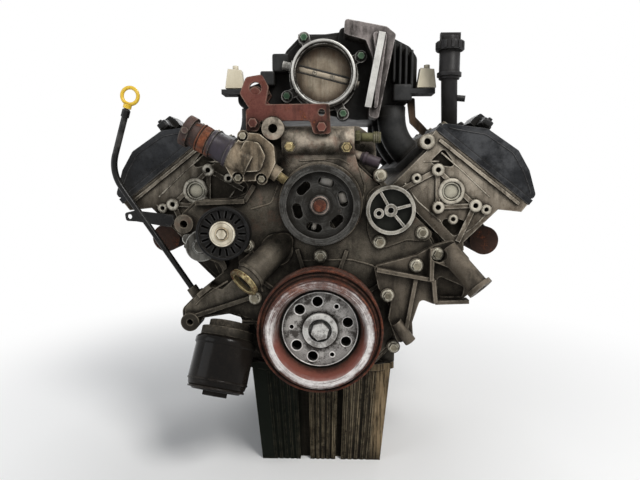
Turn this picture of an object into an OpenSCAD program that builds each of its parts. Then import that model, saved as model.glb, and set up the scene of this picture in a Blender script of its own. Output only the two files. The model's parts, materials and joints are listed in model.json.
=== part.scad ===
// V6 car engine with its front dress, standing on its sump.
// X runs to the right seen from the front, Y to the rear and Z up.
// The origin is the crank axis at the rear face of the crank's flywheel flange.

/* [Block] */
// Length of the block, front face to rear face
block_len = 420; // [405:5:435]
// Crank axis to the deck, along a bank
deck_h = 235; // [231:1:240]
// Half width of the crankcase
case_w = 118; // [114:1:122]
// Distance of the right bank ahead of the left one
stagger = 22; // [16:1:24]
// Radius of the crank's main journals
main_r = 32; // [28:0.5:34]
// Stroke of the pistons
stroke = 90; // [80:1:94]
// Depth of the bedplate below the crank axis
bed_h = 78; // [74:1:80]

/* [Heads] */
// Height of a cylinder head
head_h = 123; // [118:1:126]
// Length of a cylinder head
head_len = 400; // [390:2:404]
// Slope of the valve cover's seat against the deck
rail_tilt = 7; // [4:0.5:8]
// Height of a valve cover above its seat
valve_cover_h = 57; // [52:1:62]

/* [Sump] */
// Depth of the oil pan below its gasket
pan_h = 182; // [160:1:200]
// Half width of the oil pan at its rail
pan_top_w = 120; // [112:1:122]
// Half width of the oil pan at its floor
pan_floor_w = 104; // [94:1:110]
// Wall of the oil pan
pan_wall = 5; // [4:0.5:7]

/* [Front drive] */
// Thickness of the front cover
cover_t = 45; // [42:1:50]
// Front cover's face to the belt plane
belt_gap = 35; // [34:0.5:38]
// Outer radius of the crank damper
damper_r = 98; // [92:1:100]
// Radius of the damper's front lip
lip_r = 86; // [82:0.5:87]
// Radius of the water pump's pulley
pump_pulley_r = 60.5; // [56:0.5:63]
// Radius of the tensioner's pulley
idler_r = 41; // [36:0.5:42]
// Radius of the coolant inlet pipe
inlet_r = 22; // [18:0.5:23]

/* [Intake] */
// Radius of the throttle bore
throttle_r = 46; // [42:0.5:47]
// Length of the throttle body
throttle_len = 40; // [36:1:46]
// Radius of an intake runner
runner_r = 24; // [20:0.5:26]

/* [Oil system] */
// Radius of the oil filter
filter_r = 49; // [44:0.5:50]
// Length of the oil filter's can
filter_len = 84; // [75:1:90]
// Radius of the oil filler's head
filler_r = 21.5; // [19:0.5:24]
// Radius of the dipstick's tube
dip_r = 5; // [4.5:0.1:6]

/* [Hidden] */
$fn = 48;

// Main planes
half_v = 45;
flange_t = 12;
rear_y = -flange_t;
front_y = rear_y - block_len;
cover_y = front_y - cover_t;
belt_y = cover_y - belt_gap;
seal_t = 14;                    // depth of the front cover's sealing flange
mid_cover_y = front_y - seal_t;
gasket_t = 1.5;
slack = 0.3;                    // gap between curved faces of neighbours
run_fit = 0.05;                 // radial clearance of a running fit

// Crank and its bearings
web_t = 24;
bay = (block_len - web_t) / 3;  // pitch of the main bearings
shell_r = main_r + 2.5;
cavity_r = 88;
pin_r = 26;
nose_r = 20;
crank_flange_r = 45;
flange_bolt_pcd = 76;
flange_bolt_r = 5;

// Banks, in their own frame: t across the bank, positive outwards and down, and u away from the crank
bank_in = 72;
bank_out = 78;
head_u = deck_h + gasket_t;
joint_u = head_u + head_h;
head_in = 78;
head_out = 70;
rail_in = 92;
rail_out = 100;

// Sump
pan_z = -bed_h - 2;
pan_rail_x = pan_top_w + 6;
pan_rail_t = 12;
floor_z = pan_z - pan_h;
pan_front = mid_cover_y;
pan_step_y = -120;
pan_step_z = pan_z - 90;

// Front drive
pump_at = [0, 195];
tens_pivot = [-188, 129];
tens_at = [-147, 152];
cap_at = [109, 186];
inlet_from = [-58, cover_y + 12, 135];
inlet_to = [-114, cover_y - 40, 79];
damper_back = cover_y - 9;
lip_y = belt_y - 26;
hub_y = belt_y + 4;             // front face of the damper's hub
pulley_w = 26;

// Intake
intake_rise = (deck_h - 235) * cos(half_v);   // lift of the intake as the decks move out
throttle_at = [3, 405];
manifold_y = front_y + 60;      // front face of the plenum
throttle_y = manifold_y - 12;   // seat of the throttle body
throttle_tilt = -14;            // slope of the throttle shaft
plenum_low = 350;
plenum_z = plenum_low + intake_rise;

// Oil filter: it hangs forwards and outwards from the cover's lower lobe
filter_at = [-152, cover_y - 8, -24];
filter_lean = 27;
filter_yaw = -20;

// Dipstick
dip_y = mid_cover_y - 4;
dip_top = [-313, 346];
dip_bend = [-344, 245];
dip_foot = [-213, 47];

// ---- Shared shapes ----

function bank_x(t, u) = t * cos(half_v) + u * sin(half_v);
function bank_z(t, u) = u * cos(half_v) - t * sin(half_v);
function bank_pt(side, t, u) = [side * bank_x(t, u), bank_z(t, u)];
function head_front(side) = front_y - 4 - (side > 0 ? stagger : 0);
function bay_y(i) = rear_y - web_t / 2 - bay * (i + 0.5);
function main_y(i) = rear_y - web_t / 2 - bay * i;
function cyl_y(side, i) = bay_y(i) - side * stagger / 2;

function rail_pt(t, h) = [t * cos(rail_tilt) - h * sin(rail_tilt),
    joint_u + t * sin(rail_tilt) + h * cos(rail_tilt)];

// The arc that replaces corner p1 of an outline
function corner(p0, p1, p2, r, n) =
    let (a = (p0 - p1) / norm(p0 - p1),
         b = (p2 - p1) / norm(p2 - p1),
         half = acos(max(-0.9999, min(0.9999, a * b))) / 2,
         d = min(r / tan(half), 0.45 * min(norm(p0 - p1), norm(p2 - p1))),
         arc_r = d * tan(half),
         c = p1 + (a + b) / norm(a + b) * arc_r / sin(half),
         s = p1 + a * d - c,
         e = p1 + b * d - c,
         a0 = atan2(s[1], s[0]),
         turn = atan2(e[1], e[0]) - a0,
         da = turn > 180 ? turn - 360 : turn < -180 ? turn + 360 : turn)
    [for (i = [0:n]) c + arc_r * [cos(a0 + da * i / n), sin(a0 + da * i / n)]];

function rounded(pts, r, n = 4) =
    [for (i = [0:len(pts) - 1])
        each corner(pts[(i + len(pts) - 1) % len(pts)], pts[i], pts[(i + 1) % len(pts)], r, n)];

// An outline drawn in about a point by a factor across and one upright
function drawn_in(pts, at, k) = [for (p = pts) [at[0] + (p[0] - at[0]) * k[0],
    at[1] + (p[1] - at[1]) * k[1]]];

function mirrored(pts) = [for (i = [len(pts) - 1:-1:0]) [-pts[i][0], pts[i][1]]];

// An outline in X and Z, extruded between two planes across Y
module slab(y0, y1) translate([0, y1, 0]) rotate([90, 0, 0]) linear_extrude(y1 - y0) children();

// A cylinder along Y at p = [x, z]
module post(p, r, y0, y1) translate([p[0], y1, p[1]]) rotate([90, 0, 0]) cylinder(r = r, h = y1 - y0);

// A straight rib between two points of the X-Z plane
module rib(p0, p1, w, y0, y1) {
    d = p1 - p0;
    translate([p0[0], y1, p0[1]]) rotate([90, 0, 0]) rotate([0, 0, atan2(d[1], d[0])])
        translate([0, -w / 2, 0]) cube([norm(d), w, y1 - y0]);
}

// A cylinder from a to b
module rod(a, b, r, r2 = undef) {
    d = b - a;
    translate(a) rotate([0, acos(d[2] / norm(d)), atan2(d[1], d[0])])
        cylinder(r1 = r, r2 = is_undef(r2) ? r : r2, h = norm(d));
}

// Children placed in a bank's frame: side 1 is the right bank and -1 the left
module bank(side) {
    if (side > 0) rotate([0, half_v, 0]) children();
    else mirror([1, 0, 0]) rotate([0, half_v, 0]) children();
}

// Children placed on a bank's valve cover seat
module rail(side) bank(side) translate([0, 0, joint_u]) rotate([0, -rail_tilt, 0]) children();

// A block on a bank: t, y and u ranges
module bank_box(t, y, u) translate([t[0], y[0], u[0]]) cube([t[1] - t[0], y[1] - y[0], u[1] - u[0]]);

// A flanged hex bolt that seats on plane y at p, its head to the front
bolt_r = 4;
bolt_hole_r = bolt_r + slack;
module bolt(p, y, grip, af = 12, head = 7) {
    post(p, af * 0.78, y - 1.6, y);
    translate([p[0], y, p[1]]) rotate([90, 0, 0]) cylinder(d = af / cos(30), h = head, $fn = 6);
    post(p, bolt_r, y - 1, y + grip);
}

// A small hex bolt of the same kind
module bolt3(p, y, grip) {
    translate([p[0], y, p[1]]) rotate([90, 0, 0]) cylinder(d = 10 / cos(30), h = 6, $fn = 6);
    post(p, 3, y - 1, y + grip);
}

// ---- Block, crank and sump ----

bell_x = 150;
bell_z = [-24, 136];
bell_t = 16;
bell_proud = 2;                   // bell housing face behind the castings
cast_rear = rear_y - bell_proud;
bell_hole_r = 5.1;
pad_x = 172;
pad_z = 31;
function pad_y(side) = -250 - side * stagger / 2;
pad_bolts = [84, 34];
pad_hole_r = 4.25;
core_plug_r = 19;

module crank_space() {
    for (i = [0:2]) post([0, 0], cavity_r, bay_y(i) - bay / 2 + web_t / 2, bay_y(i) + bay / 2 - web_t / 2);
    post([0, 0], shell_r, front_y - 1, rear_y + 1);
    post([0, 0], crank_flange_r + slack, rear_y - 6, rear_y + 1);
}

module bell_holes() for (x = [-bell_x, bell_x], z = bell_z)
    post([x, z], bell_hole_r, rear_y - bell_t - 12, rear_y + 1);

module bank_casting(side) bank(side) {
    slab(front_y, cast_rear)
        polygon([[-bank_in, 40], [0, 30], [bank_out, 84], [bank_out, deck_h - 4], [-bank_in, deck_h - 4]]);
    bank_box([-bank_in - 5, bank_out + 5], [front_y, cast_rear], [deck_h - 16, deck_h]);
    for (i = [0:3])
        bank_box([bank_out - 2, bank_out + 7], [main_y(i) - 5, main_y(i) + 5],
                 [108, deck_h - 10]);
    for (i = [0:2])
        translate([bank_out - 2, cyl_y(side, i), deck_h - 62]) rotate([0, 90, 0])
            cylinder(r = core_plug_r + 4, h = 7);
}

module engine_block() color("#6b6760") difference() {
    union() {
        slab(front_y, cast_rear)
            polygon([[-case_w, 0], [case_w, 0], [case_w, 9], [58, 116], [-58, 116], [-case_w, 9]]);
        slab(front_y, cast_rear) polygon([[-62, 112], [62, 112], [84, 150], [-84, 150]]);
        for (side = [-1, 1]) bank_casting(side);
        slab(rear_y - bell_t, rear_y)
            polygon([[-bell_x - 20, 0], [bell_x + 20, 0], [bell_x + 24, 62], [bell_x + 24, 130],
                [bell_x, 157],
                     [-bell_x, 157], [-bell_x - 24, 130], [-bell_x - 24, 62]]);
        for (side = [-1, 1])
            slab(pad_y(side) - 58, pad_y(side) + 58)
                polygon([for (p = [[case_w - 12, 3], [pad_x, 3], [pad_x, 60],
                    [case_w + 20, 60]]) [side * p[0], p[1]]]);
    }
    crank_space();
    bell_holes();
    cover_bolt_holes(front_y + 16);
    for (side = [-1, 1]) {
        for (y = [-1, 1], z = [-1, 1])
            translate([side * (pad_x - 11), pad_y(side) + y * pad_bolts[0] / 2,
                pad_z + z * pad_bolts[1] / 2])
                rotate([0, 90, 0]) cylinder(r = pad_hole_r, h = 24, center = true);
        bank(side) for (i = [0:2])
            translate([bank_out + 2, cyl_y(side, i), deck_h - 62]) rotate([0, 90, 0])
                cylinder(r = core_plug_r, h = 7);
    }
}

module bedplate() color("#807b72") difference() {
    union() {
        slab(front_y, rear_y)
            polygon([[-case_w, -bed_h], [case_w, -bed_h], [case_w, 0], [-case_w, 0]]);
        slab(front_y, rear_y)
            polygon([[-pan_rail_x, -bed_h], [pan_rail_x, -bed_h], [pan_rail_x, -bed_h + 15],
                [-pan_rail_x, -bed_h + 15]]);
        slab(rear_y - bell_t, rear_y)
            polygon([[-bell_x - 20, 0], [-bell_x - 20, -40], [-case_w, -bed_h],
                     [case_w, -bed_h], [bell_x + 20, -40], [bell_x + 20, 0]]);
        for (side = [-1, 1], i = [0:3], y = [main_y(i)])
            translate([side > 0 ? case_w - 2 : -case_w - 8, max(front_y, y - 12), -bed_h + 10])
                cube([10, 24, bed_h - 10]);
    }
    crank_space();
    bell_holes();
    cover_bolt_holes(front_y + 16);
    for (i = [0:2])
        translate([-case_w + 14, bay_y(i) - bay / 2 + web_t / 2, -bed_h - 1])
            cube([2 * case_w - 28, bay - web_t, 50]);
}

module main_bearings() color("#b9a271") for (i = [0:3]) difference() {
    y = main_y(i);
    post([0, 0], shell_r, y - 10, y + (i == 0 ? 5 : 10));
    post([0, 0], main_r + run_fit, y - 11, y + 11);
}

module rear_seal_housing() color("#7d7a74") difference() {
    slab(rear_y, rear_y + 8) polygon(rounded([[-66, -62], [66, -62], [66, 62], [-66, 62]], 22));
    post([0, 0], crank_flange_r + slack, rear_y - 1, rear_y + 9);
}

module crank_throw(i) {
    angle = 90 + 120 * i;
    r = stroke / 2;
    y = bay_y(i);
    half = (bay - web_t) / 2;
    at = r * [cos(angle), sin(angle)];
    post(at, pin_r, y - half + 10, y + half - 10);
    for (s = [-1, 1]) {
        cheek = y + s * (half - 10);
        rib([0, 0] - 0.7 * at, at, 66, cheek - 9, cheek + 9);
        intersection() {
            post([0, 0], cavity_r - 6, cheek - 9, cheek + 9);
            rib(-0.2 * at, -2 * at, 120, cheek - 9, cheek + 9);
        }
    }
}

module crankshaft() color("#77726b") difference() {
    union() {
        post([0, 0], crank_flange_r, -flange_t - 4, 0);
        for (i = [0:3]) post([0, 0], main_r, main_y(i) - web_t / 2 - 2,
            main_y(i) + (i == 0 ? 8 : web_t / 2 + 2));
        for (i = [0:2]) crank_throw(i);
        post([0, 0], nose_r, hub_y + 6, front_y + web_t);
    }
    for (i = [0:7])
        post(flange_bolt_pcd / 2 * [cos(45 * i), sin(45 * i)], flange_bolt_r, -flange_t - 3, 1);
    post([0, 0], 12, -10, 1);
    post([0, 0], 8 + slack, hub_y, front_y - 4);
}

// Side view of the oil pan: deep under the front of the engine and shallow at the rear
module pan_side(inset, x) rotate([90, 0, 90]) translate([0, 0, -x]) linear_extrude(2 * x)
    polygon([[pan_front + 6 + inset, pan_z + inset * 2], [pan_front + 14 + inset, floor_z + inset],
             [pan_step_y - 16 - inset, floor_z + inset], [pan_step_y - inset, pan_step_z + inset],
             [rear_y - 14 - inset, pan_step_z + inset], [rear_y - 14 - inset, pan_z + inset * 2]]);

module pan_form(inset) intersection() {
    pan_side(inset, pan_rail_x + 10);
    slab(pan_front - 10, rear_y + 10)
        polygon([[-pan_top_w + inset, pan_z + inset * 2], [-pan_floor_w + inset, floor_z + inset],
                 [pan_floor_w - inset, floor_z + inset], [pan_top_w - inset, pan_z + inset * 2]]);
}

module pan_rail(z0, z1) translate([0, 0, z0]) linear_extrude(z1 - z0) difference() {
    polygon(rounded([[-pan_rail_x, rear_y], [-pan_rail_x, front_y], [-96, pan_front], [96, pan_front],
                     [pan_rail_x, front_y], [pan_rail_x, rear_y]], 6));
    polygon([[-88, rear_y - 22], [-88, pan_front + 20], [88, pan_front + 20], [88, rear_y - 22]]);
}

// Upright flutes of the pan's front face, closing in towards the floor
flute_r = 3.4;
pan_columns = [[-98, -42], [-22, 29], [40, 100]];
module flute(x) {
    foot = x * pan_floor_w / pan_top_w;
    rod([x, pan_front + 4, pan_z - pan_rail_t], [foot, pan_front + 12, floor_z - 1], flute_r);
}
module column_gap(x0, x1) {
    k = pan_floor_w / pan_top_w;
    slab(pan_front - 1, pan_front + 24)
        polygon([[x0, pan_z - pan_rail_t], [x0 * k, floor_z - 1], [x1 * k, floor_z - 1],
            [x1, pan_z - pan_rail_t]]);
}

module oil_pan() color("#3d3a30") {
    difference() {
        union() {
            pan_rail(pan_z - pan_rail_t, pan_z);
            pan_form(0);
            for (side = [-1, 1], i = [0:7])
                translate([side * (pan_top_w - 2), pan_front + 55 + 30 * i, pan_z - pan_rail_t])
                    rotate([0, side * atan((pan_top_w - pan_floor_w) / pan_h) + 180, 0])
                        translate([-3, -3, 0]) cube([7, 6, pan_h - pan_rail_t - 12]);
        }
        difference() {
            pan_form(pan_wall);
            translate([-200, pan_front - 20, floor_z - 10]) cube([400, 54, pan_h + 20]);
        }
        translate([-84, pan_front + 34, pan_z - 30]) cube([168, rear_y - 30 - pan_front - 34, 40]);
        column_gap(pan_columns[0][1], pan_columns[1][0]);
        column_gap(pan_columns[1][1], pan_columns[2][0]);
        for (c = pan_columns, i = [1:4]) flute(c[0] + (c[1] - c[0]) * i / 5);
        drain_hole();
    }
}

module oil_pan_gasket() color("#2c2c2c") pan_rail(pan_z, -bed_h);

drain_at = [40, pan_step_y - 13, floor_z + 22];
module drain_hole() translate(drain_at) {
    rotate([90, 0, 0]) cylinder(r = 7 + slack, h = 40, center = true);
    rotate([-90, 0, 0]) cylinder(r = 14, h = 30);
}
module drain_plug() color("#8d8a83") translate(drain_at) {
    rotate([90, 0, 0]) translate([0, 0, -1]) cylinder(r = 7, h = 12);
    rotate([-90, 0, 0]) cylinder(r = 12, h = 3);
    rotate([-90, 0, 0]) cylinder(d = 19 / cos(30), h = 11, $fn = 6);
}

// ---- Front cover ----

cover_top = 318;
cover_sides = [[92, -bed_h], [122, -46], [134, -4]];
cover_deck = [for (t = [45, -104]) bank_pt(1, t, deck_h - 1)];
cover_right = concat(cover_sides, cover_deck, [[86, 300], [60, cover_top]]);
cover_left = mirrored(concat(cover_sides, cover_deck, [[94, 300], [84, cover_top]]));
cover_outline = concat(cover_right, cover_left);
body_right = [[84, -70], [112, -42], [126, -2], [184, 130], bank_pt(1, 20, deck_h - 8),
    bank_pt(1, -98, deck_h - 8),
              [60, 258], [50, 296], [46, cover_top - 4]];
body_left = [[-120, cover_top - 6], [-136, 284], [-132, 244], [-108, 214], [-146, 204], [-200, 200],
    [-226, 176],
             [-222, 148], [-204, 112], [-166, 98], [-158, 84], [-200, 50], [-228, 22], [-226, -8],
                 [-206, -10],
             [-196, 6], [-150, 14], [-112, 2], [-100, -30], [-94, -70]];
ears = [[-217, 163], [-212, 3]];
face_centre = [0, 120];
face_draw = [0.975, 0.97];
cap_casting = [[72, 210], [94, 229], [124, 200], [178, 148], [168, 136], [136, 138], [104, 126],
    [82, 128], [74, 152]];
cover_bolt_spots = [[-106, 43], [0, 112], [93, 239], [93, 135], [160, 150], [-116, 128],
                    [118, -36]];

module cover_bolt_holes(y1) for (p = concat(cover_bolt_spots, bracket_spots))
    post(p, bolt_hole_r, cover_y - 30, y1);

crank_seal_r = 30;
module front_cover() color("#5d5a50") difference() {
    union() {
        slab(mid_cover_y, front_y) polygon(rounded(cover_outline, 10));
        slab(cover_y + 6, mid_cover_y) polygon(rounded(concat(body_right, body_left), 14));
        slab(cover_y, cover_y + 6)
            polygon(rounded(drawn_in(concat(body_right, body_left), face_centre, face_draw), 12));
        for (p = concat(cover_bolt_spots, bracket_spots)) post(p, 11, cover_y - 5, front_y);
        post([-70, 122], 26, cover_y - 4, mid_cover_y);
        post(cap_at, cap_r + 1, cover_y - 4, cover_y + 8);
        slab(cover_y - 2.5, cover_y + 8) polygon(rounded(cap_casting, 14));
        for (p = ears) post(p, 15, cover_y - 8, mid_cover_y);
        post(pump_at, 66, cover_y - 4, mid_cover_y);
        post([0, 0], 62, cover_y - 3, mid_cover_y);
        for (a = [35:36:180]) rib([0, 0] + 58 * [cos(a), sin(a)], 128 * [cos(a), sin(a)], 6, cover_y - 4,
            mid_cover_y);
        // coolant crossover along the top edge
        rod([crossover_x[0], crossover_y, crossover_z], [crossover_x[1], crossover_y, crossover_z], 24);
        post(ring_boss, 17, lift_y - 10, mid_cover_y);
        for (p = lift_spots) post(p, 11, lift_y, mid_cover_y);
        for (p = [fitting_at, plug_fitting_at]) post(p, 9, fitting_y, cover_y + 8);
        rod(hose_from - hose_dir * 16, hose_from, 8);
        // socket of the dipstick's tube
        rod(dip3(dip_foot - 8 * dip_run), dip3(dip_foot + 14 * dip_run), 9);
        rib([-206, 38], [-196, 44], 18, dip_y - 4, dip_y + 4);
        // ribs that carry the tensioner and the filter's lobe
        rib([-198, 196], [-120, 199], 7, cover_y - 8, mid_cover_y);
        rib([-120, 199], [-104, 224], 7, cover_y - 4, mid_cover_y);
        rib([-212, 10], [-106, 46], 7, cover_y - 6, mid_cover_y);
        rib([-198, 46], [-106, 118], 7, cover_y - 6, mid_cover_y);
        rib([92, 232], [148, 172], 7, cover_y - 4, mid_cover_y);
        rib([106, 52], [124, 0], 7, cover_y - 4, mid_cover_y);
    }
    // chain space behind the cover
    difference() {
        slab(cover_y + 10, front_y + 1)
            polygon(rounded([[-74, -52], [74, -52], [94, 8], [142, 112], [100, 120], [-100, 120],
                [-142, 112], [-94, 8]], 16));
        for (p = concat(cover_bolt_spots, bracket_spots)) post(p, 9, cover_y, front_y + 2);
    }
    post([0, 0], crank_seal_r, cover_y - 10, front_y + 1);
    post(pump_at, 38, cover_y - 10, cover_y + 24);
    cover_bolt_holes(front_y + 1);
    for (p = concat(cover_bolt_spots, bracket_spots)) post(p, 10.5, cover_y - 30, cover_y - 5);
    post(ears[0], 6, cover_y - 20, mid_cover_y + 1);
    post(ears[1], 5, cover_y - 20, mid_cover_y + 1);
    post(ring_boss, 7, cover_y - 30, cover_y + 10);
    for (p = lift_spots) post(p, bolt_hole_r, cover_y - 30, lift_y + 22);
    for (p = thermo_spots) post(p, 3 + slack, cover_y - 1, cover_y + 16);
    pump_spots(50) post(pump_at, 3 + slack, cover_y - 10, cover_y + 14);
    // open pocket below the tensioner
    slab(cover_y - 10, cover_y + 18)
        polygon(rounded([[-186, 62], [-160, 56], [-128, 84], [-132, 112], [-158, 108], [-150, 92]], 5));
    rod(dip3(dip_foot - 40 * dip_run), dip3(dip_foot), dip_r - 0.2 + slack);
}

module front_seal() color("#1d1d1d") difference() {
    post([0, 0], crank_seal_r, cover_y - 1, cover_y + 8);
    post([0, 0], nose_r + 8 + slack, cover_y - 2, cover_y + 9);
}

module front_cover_bolts() color("#76736c") {
    for (p = cover_bolt_spots) bolt(p, cover_y - 5, cover_t + 5 + 14);
    for (p = thermo_spots) bolt3(p, cover_y - 18, 18 + 14);
}

// ---- Heads ----

plug_at = [-4, 299];
plug_r = 15;
head_bosses = [[-44, 307], [-1, 266], [39, 310]];
side_lugs = [[-58, 274], [30, 270], [56, 318]];

module head(side) {
    y0 = head_front(side);
    y1 = y0 + head_len;
    bank(side) difference() {
        union() {
            slab(y0, y1)
                polygon([[-head_in, head_u], [80, head_u], [80, head_u + 12], [head_out, head_u + 20],
                         rail_pt(head_out - 4, -36), rail_pt(rail_out - 2, -16), rail_pt(rail_out - 2, 0),
                         rail_pt(-rail_in, 0), rail_pt(-rail_in, -14), [-head_in, joint_u - 30]]);
            for (i = [0:2]) {
                translate([head_out - 4, cyl_y(side, i), head_u + 54]) rotate([0, 90, 0])
                    cylinder(r = 27, h = 6);
                bank_box([head_out - 2, head_out + 10], [cyl_y(side, i) - 57, cyl_y(side, i) - 50],
                    [head_u + 16, joint_u - 12]);
            }
            for (b = head_bosses) post(b, 10, y0 - 7, y0 + 2);
            post([-rail_in + 4, joint_u - 34], 12, y0 - 5, y0 + 24);
            post(plug_at, plug_r + 6, y0 - 4, y0 + 2);
            for (k = [0:2]) rib(head_bosses[k], head_bosses[(k + 1) % 3], 7, y0 - 3, y0 + 2);
            rib([-62, head_u + 8], [-44, 307], 8, y0 - 3, y0 + 2);
            rib(rail_pt(-rail_in + 14, -9), rail_pt(rail_out - 14, -9), 5, y0 - 4, y0 + 2);
            for (p = side_lugs) post(p, 8, y0 - 5, y0 + 2);
            rib([head_out - 8, head_u + 14], [39, 310], 8, y0 - 3, y0 + 2);
        }
        post(plug_at, plug_r + slack, y0 - 10, y0 + 8);
        for (b = head_bosses) post(b, bolt_r, y0 - 10, y0 + 16);
        for (p = side_lugs) post(p, 3.4, y0 - 10, y0 + 12);
        post([-rail_in + 4, joint_u - 34], 5, y0 - 10, y0 + 25);
        slab(y0 - 1, y0 + 14) polygon(rounded([[14, head_u + 16], [54, head_u + 16], [54, head_u + 48],
            [34, head_u + 40]], 6));
        slab(y0 - 1, y0 + 10) polygon(rounded([[-62, joint_u - 56], [-24, joint_u - 28],
            [-62, joint_u - 22]], 5));
    }
}

module head_left() color("#97907f") head(-1);
module head_right() color("#97907f") head(1);

module cam_plug() color("#b3aa92") for (side = [-1, 1]) bank(side)
    difference() {
        post(plug_at, plug_r, head_front(side) - 2, head_front(side) + 8);
        post(plug_at, plug_r - 3, head_front(side) - 3, head_front(side) + 1);
    }

module head_gasket(side) bank(side)
    bank_box([-bank_in, bank_out], [head_front(side) + 20, head_front(side) + head_len - 10],
        [deck_h, head_u]);
module head_gaskets() color("#55524c") for (side = [-1, 1]) head_gasket(side);

// ---- Valve covers and coils ----

lid_h = valve_cover_h;
lid_rail = 9;
function lid_profile(inset) = [
    [rail_out - inset, lid_rail], [rail_out - inset, lid_h * 0.33],
        [66 - inset * 0.8, lid_h * 0.77 - inset],
    [32 - inset * 0.5, lid_h - inset], [-30 + inset * 0.5, lid_h * 0.93 - inset],
        [-60 + inset * 0.6, lid_h * 0.62 - inset],
    [-rail_in + 2 + inset, lid_h * 0.28], [-rail_in + 2 + inset, lid_rail]];
lid_bolts = [for (i = [0:3]) 26 + i * (head_len - 52) / 3];

module valve_cover(side) {
    y0 = head_front(side) - 1;
    y1 = head_front(side) + head_len + 1;
    rail(side) difference() {
        union() {
            slab(y0, y1) polygon([[-rail_in, 0], [rail_out, 0], [rail_out, lid_rail],
                [-rail_in, lid_rail]]);
            slab(y0 + 5, y1 - 5) polygon(rounded(lid_profile(4), 7, 3));
            slab(y0 + 1.5, y0 + 34) polygon(rounded(lid_profile(1.5), 7, 3));
            slab(y1 - 34, y1 - 1.5) polygon(rounded(lid_profile(1.5), 7, 3));
            for (i = [0:1]) slab(cyl_y(side, i) - 66, cyl_y(side, i) - 58)
                polygon(rounded(lid_profile(1.5), 7, 3));
            for (b = lid_bolts, t = [-rail_in + 9, rail_out - 9]) translate([t, y0 + b, 0])
                cylinder(r = 9, h = lid_rail + 8);
        }
        // hollow over the cams
        slab(y0 + 9, y1 - 9)
            polygon([[-rail_in + 22, -1], [rail_out - 22, -1], [58, lid_h * 0.6], [24, lid_h - 11],
                [-26, lid_h * 0.72], [-58, lid_h * 0.4]]);
        for (b = lid_bolts, t = [-rail_in + 9, rail_out - 9]) translate([t, y0 + b, -1])
            cylinder(r = 3 + slack, h = lid_h);
        for (b = lid_bolts, t = [-rail_in + 9, rail_out - 9]) translate([t, y0 + b, lid_rail + 8])
            cylinder(r = 8, h = lid_h);
        for (i = [0:2]) translate([coil_t, cyl_y(side, i), -1])
            cylinder(r = coil_stem_r + slack, h = lid_h + 10);
    }
}
module valve_cover_left() color("#17181a") valve_cover(-1);
module valve_cover_right() color("#17181a") valve_cover(1);

module valve_cover_bolts() color("#4c4a45") for (side = [-1, 1]) rail(side)
    for (b = lid_bolts, t = [-rail_in + 9, rail_out - 9])
        translate([t, head_front(side) - 1 + b, lid_rail + 8]) {
            cylinder(d = 10 / cos(30), h = 6, $fn = 6);
            cylinder(r = 7.4, h = 1.5);
            translate([0, 0, -lid_rail - 7]) cylinder(r = 3, h = lid_rail + 8);
        }

coil_t = -30;
coil_stem_r = 13;
module coil(side, i) rail(side) translate([coil_t, cyl_y(side, i), 0]) {
    translate([0, 0, 12]) cylinder(r = coil_stem_r, h = lid_h - 2);
    difference() {
        slab(-24, 24)
            polygon(rounded([[-17, lid_h - 4.5], [17, lid_h], [17, lid_h + 17], [6, lid_h + 24],
                [-13, lid_h + 24], [-17, lid_h + 12]], 3, 2));
        translate([-30, -30, lid_h - 30]) cube([60, 60, 30.4]);
    }
    translate([-8, -42, lid_h + 2]) cube([18, 22, 15]);
    translate([-9, 20, lid_h + 1]) cube([20, 14, 6]);
    translate([1, 27, lid_h + 1]) cylinder(r = 7.5, h = 9);
}
module coils_left() color("#101113") for (i = [0:2]) coil(-1, i);
module coils_right() color("#101113") for (i = [0:2]) coil(1, i);

// ---- Crank damper ----

puller_pcd = 90;
puller_r = 3.4;
hub_r = 61;
rubber_t = 3;
hub_t = 14;
rib_pitch = 3.56;

module turned(y) translate([0, y, 0]) rotate([90, 0, 0]) rotate_extrude($fn = 72) children();

hub_f = damper_back - hub_y;      // distances forward of the damper's back
lip_f = damper_back - lip_y;
lip_in = 72;
press = 0.02;

module damper_hub() color("#6f675e") difference() {
    turned(damper_back) polygon([[nose_r + press, -18], [nose_r + 8, -18], [nose_r + 8, hub_f - hub_t],
        [hub_r, hub_f - hub_t],
                                 [hub_r, hub_f - 1.5], [hub_r - 1.5, hub_f], [nose_r + press, hub_f]]);
    for (k = [0:8]) {
        a = 15 + 40 * k;
        post(puller_pcd / 2 * [cos(a), sin(a)], k % 3 == 1 ? puller_r : 8, hub_y - 1, hub_y + hub_t + 1);
    }
}

module damper_rubber() color("#1a1a1a")
    turned(damper_back) polygon([[hub_r, hub_f - hub_t], [hub_r + rubber_t, hub_f - hub_t],
                                 [hub_r + rubber_t, hub_f - 2], [hub_r, hub_f - 2]]);

module damper_ring() color("#6a3b2e") {
    in = hub_r + rubber_t;
    shoulder = lip_f - 15;
    grooves = [for (k = [0:6]) each [[damper_r, 6 + k * rib_pitch],
        [damper_r - 2.6, 6 + (k + 0.5) * rib_pitch]]];
    turned(damper_back)
        polygon(concat([[in, 5], [in, hub_f + 2], [lip_in - 3, lip_f - 6], [lip_in, lip_f - 1],
            [lip_in + 1, lip_f],
                        [lip_r - 1.5, lip_f], [lip_r, lip_f - 1.5], [lip_r, shoulder],
                            [lip_r + 4, shoulder],
                        [lip_r + 5, shoulder - 2.5], [lip_r + 7, shoulder - 2.5], [lip_r + 8, shoulder],
                        [damper_r - 1, shoulder], [damper_r, shoulder - 1]],
                       [for (i = [len(grooves) - 1:-1:0]) grooves[i]],
                           [[damper_r, 1], [damper_r - 1, 0], [in + 10, 0]]));
}

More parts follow.
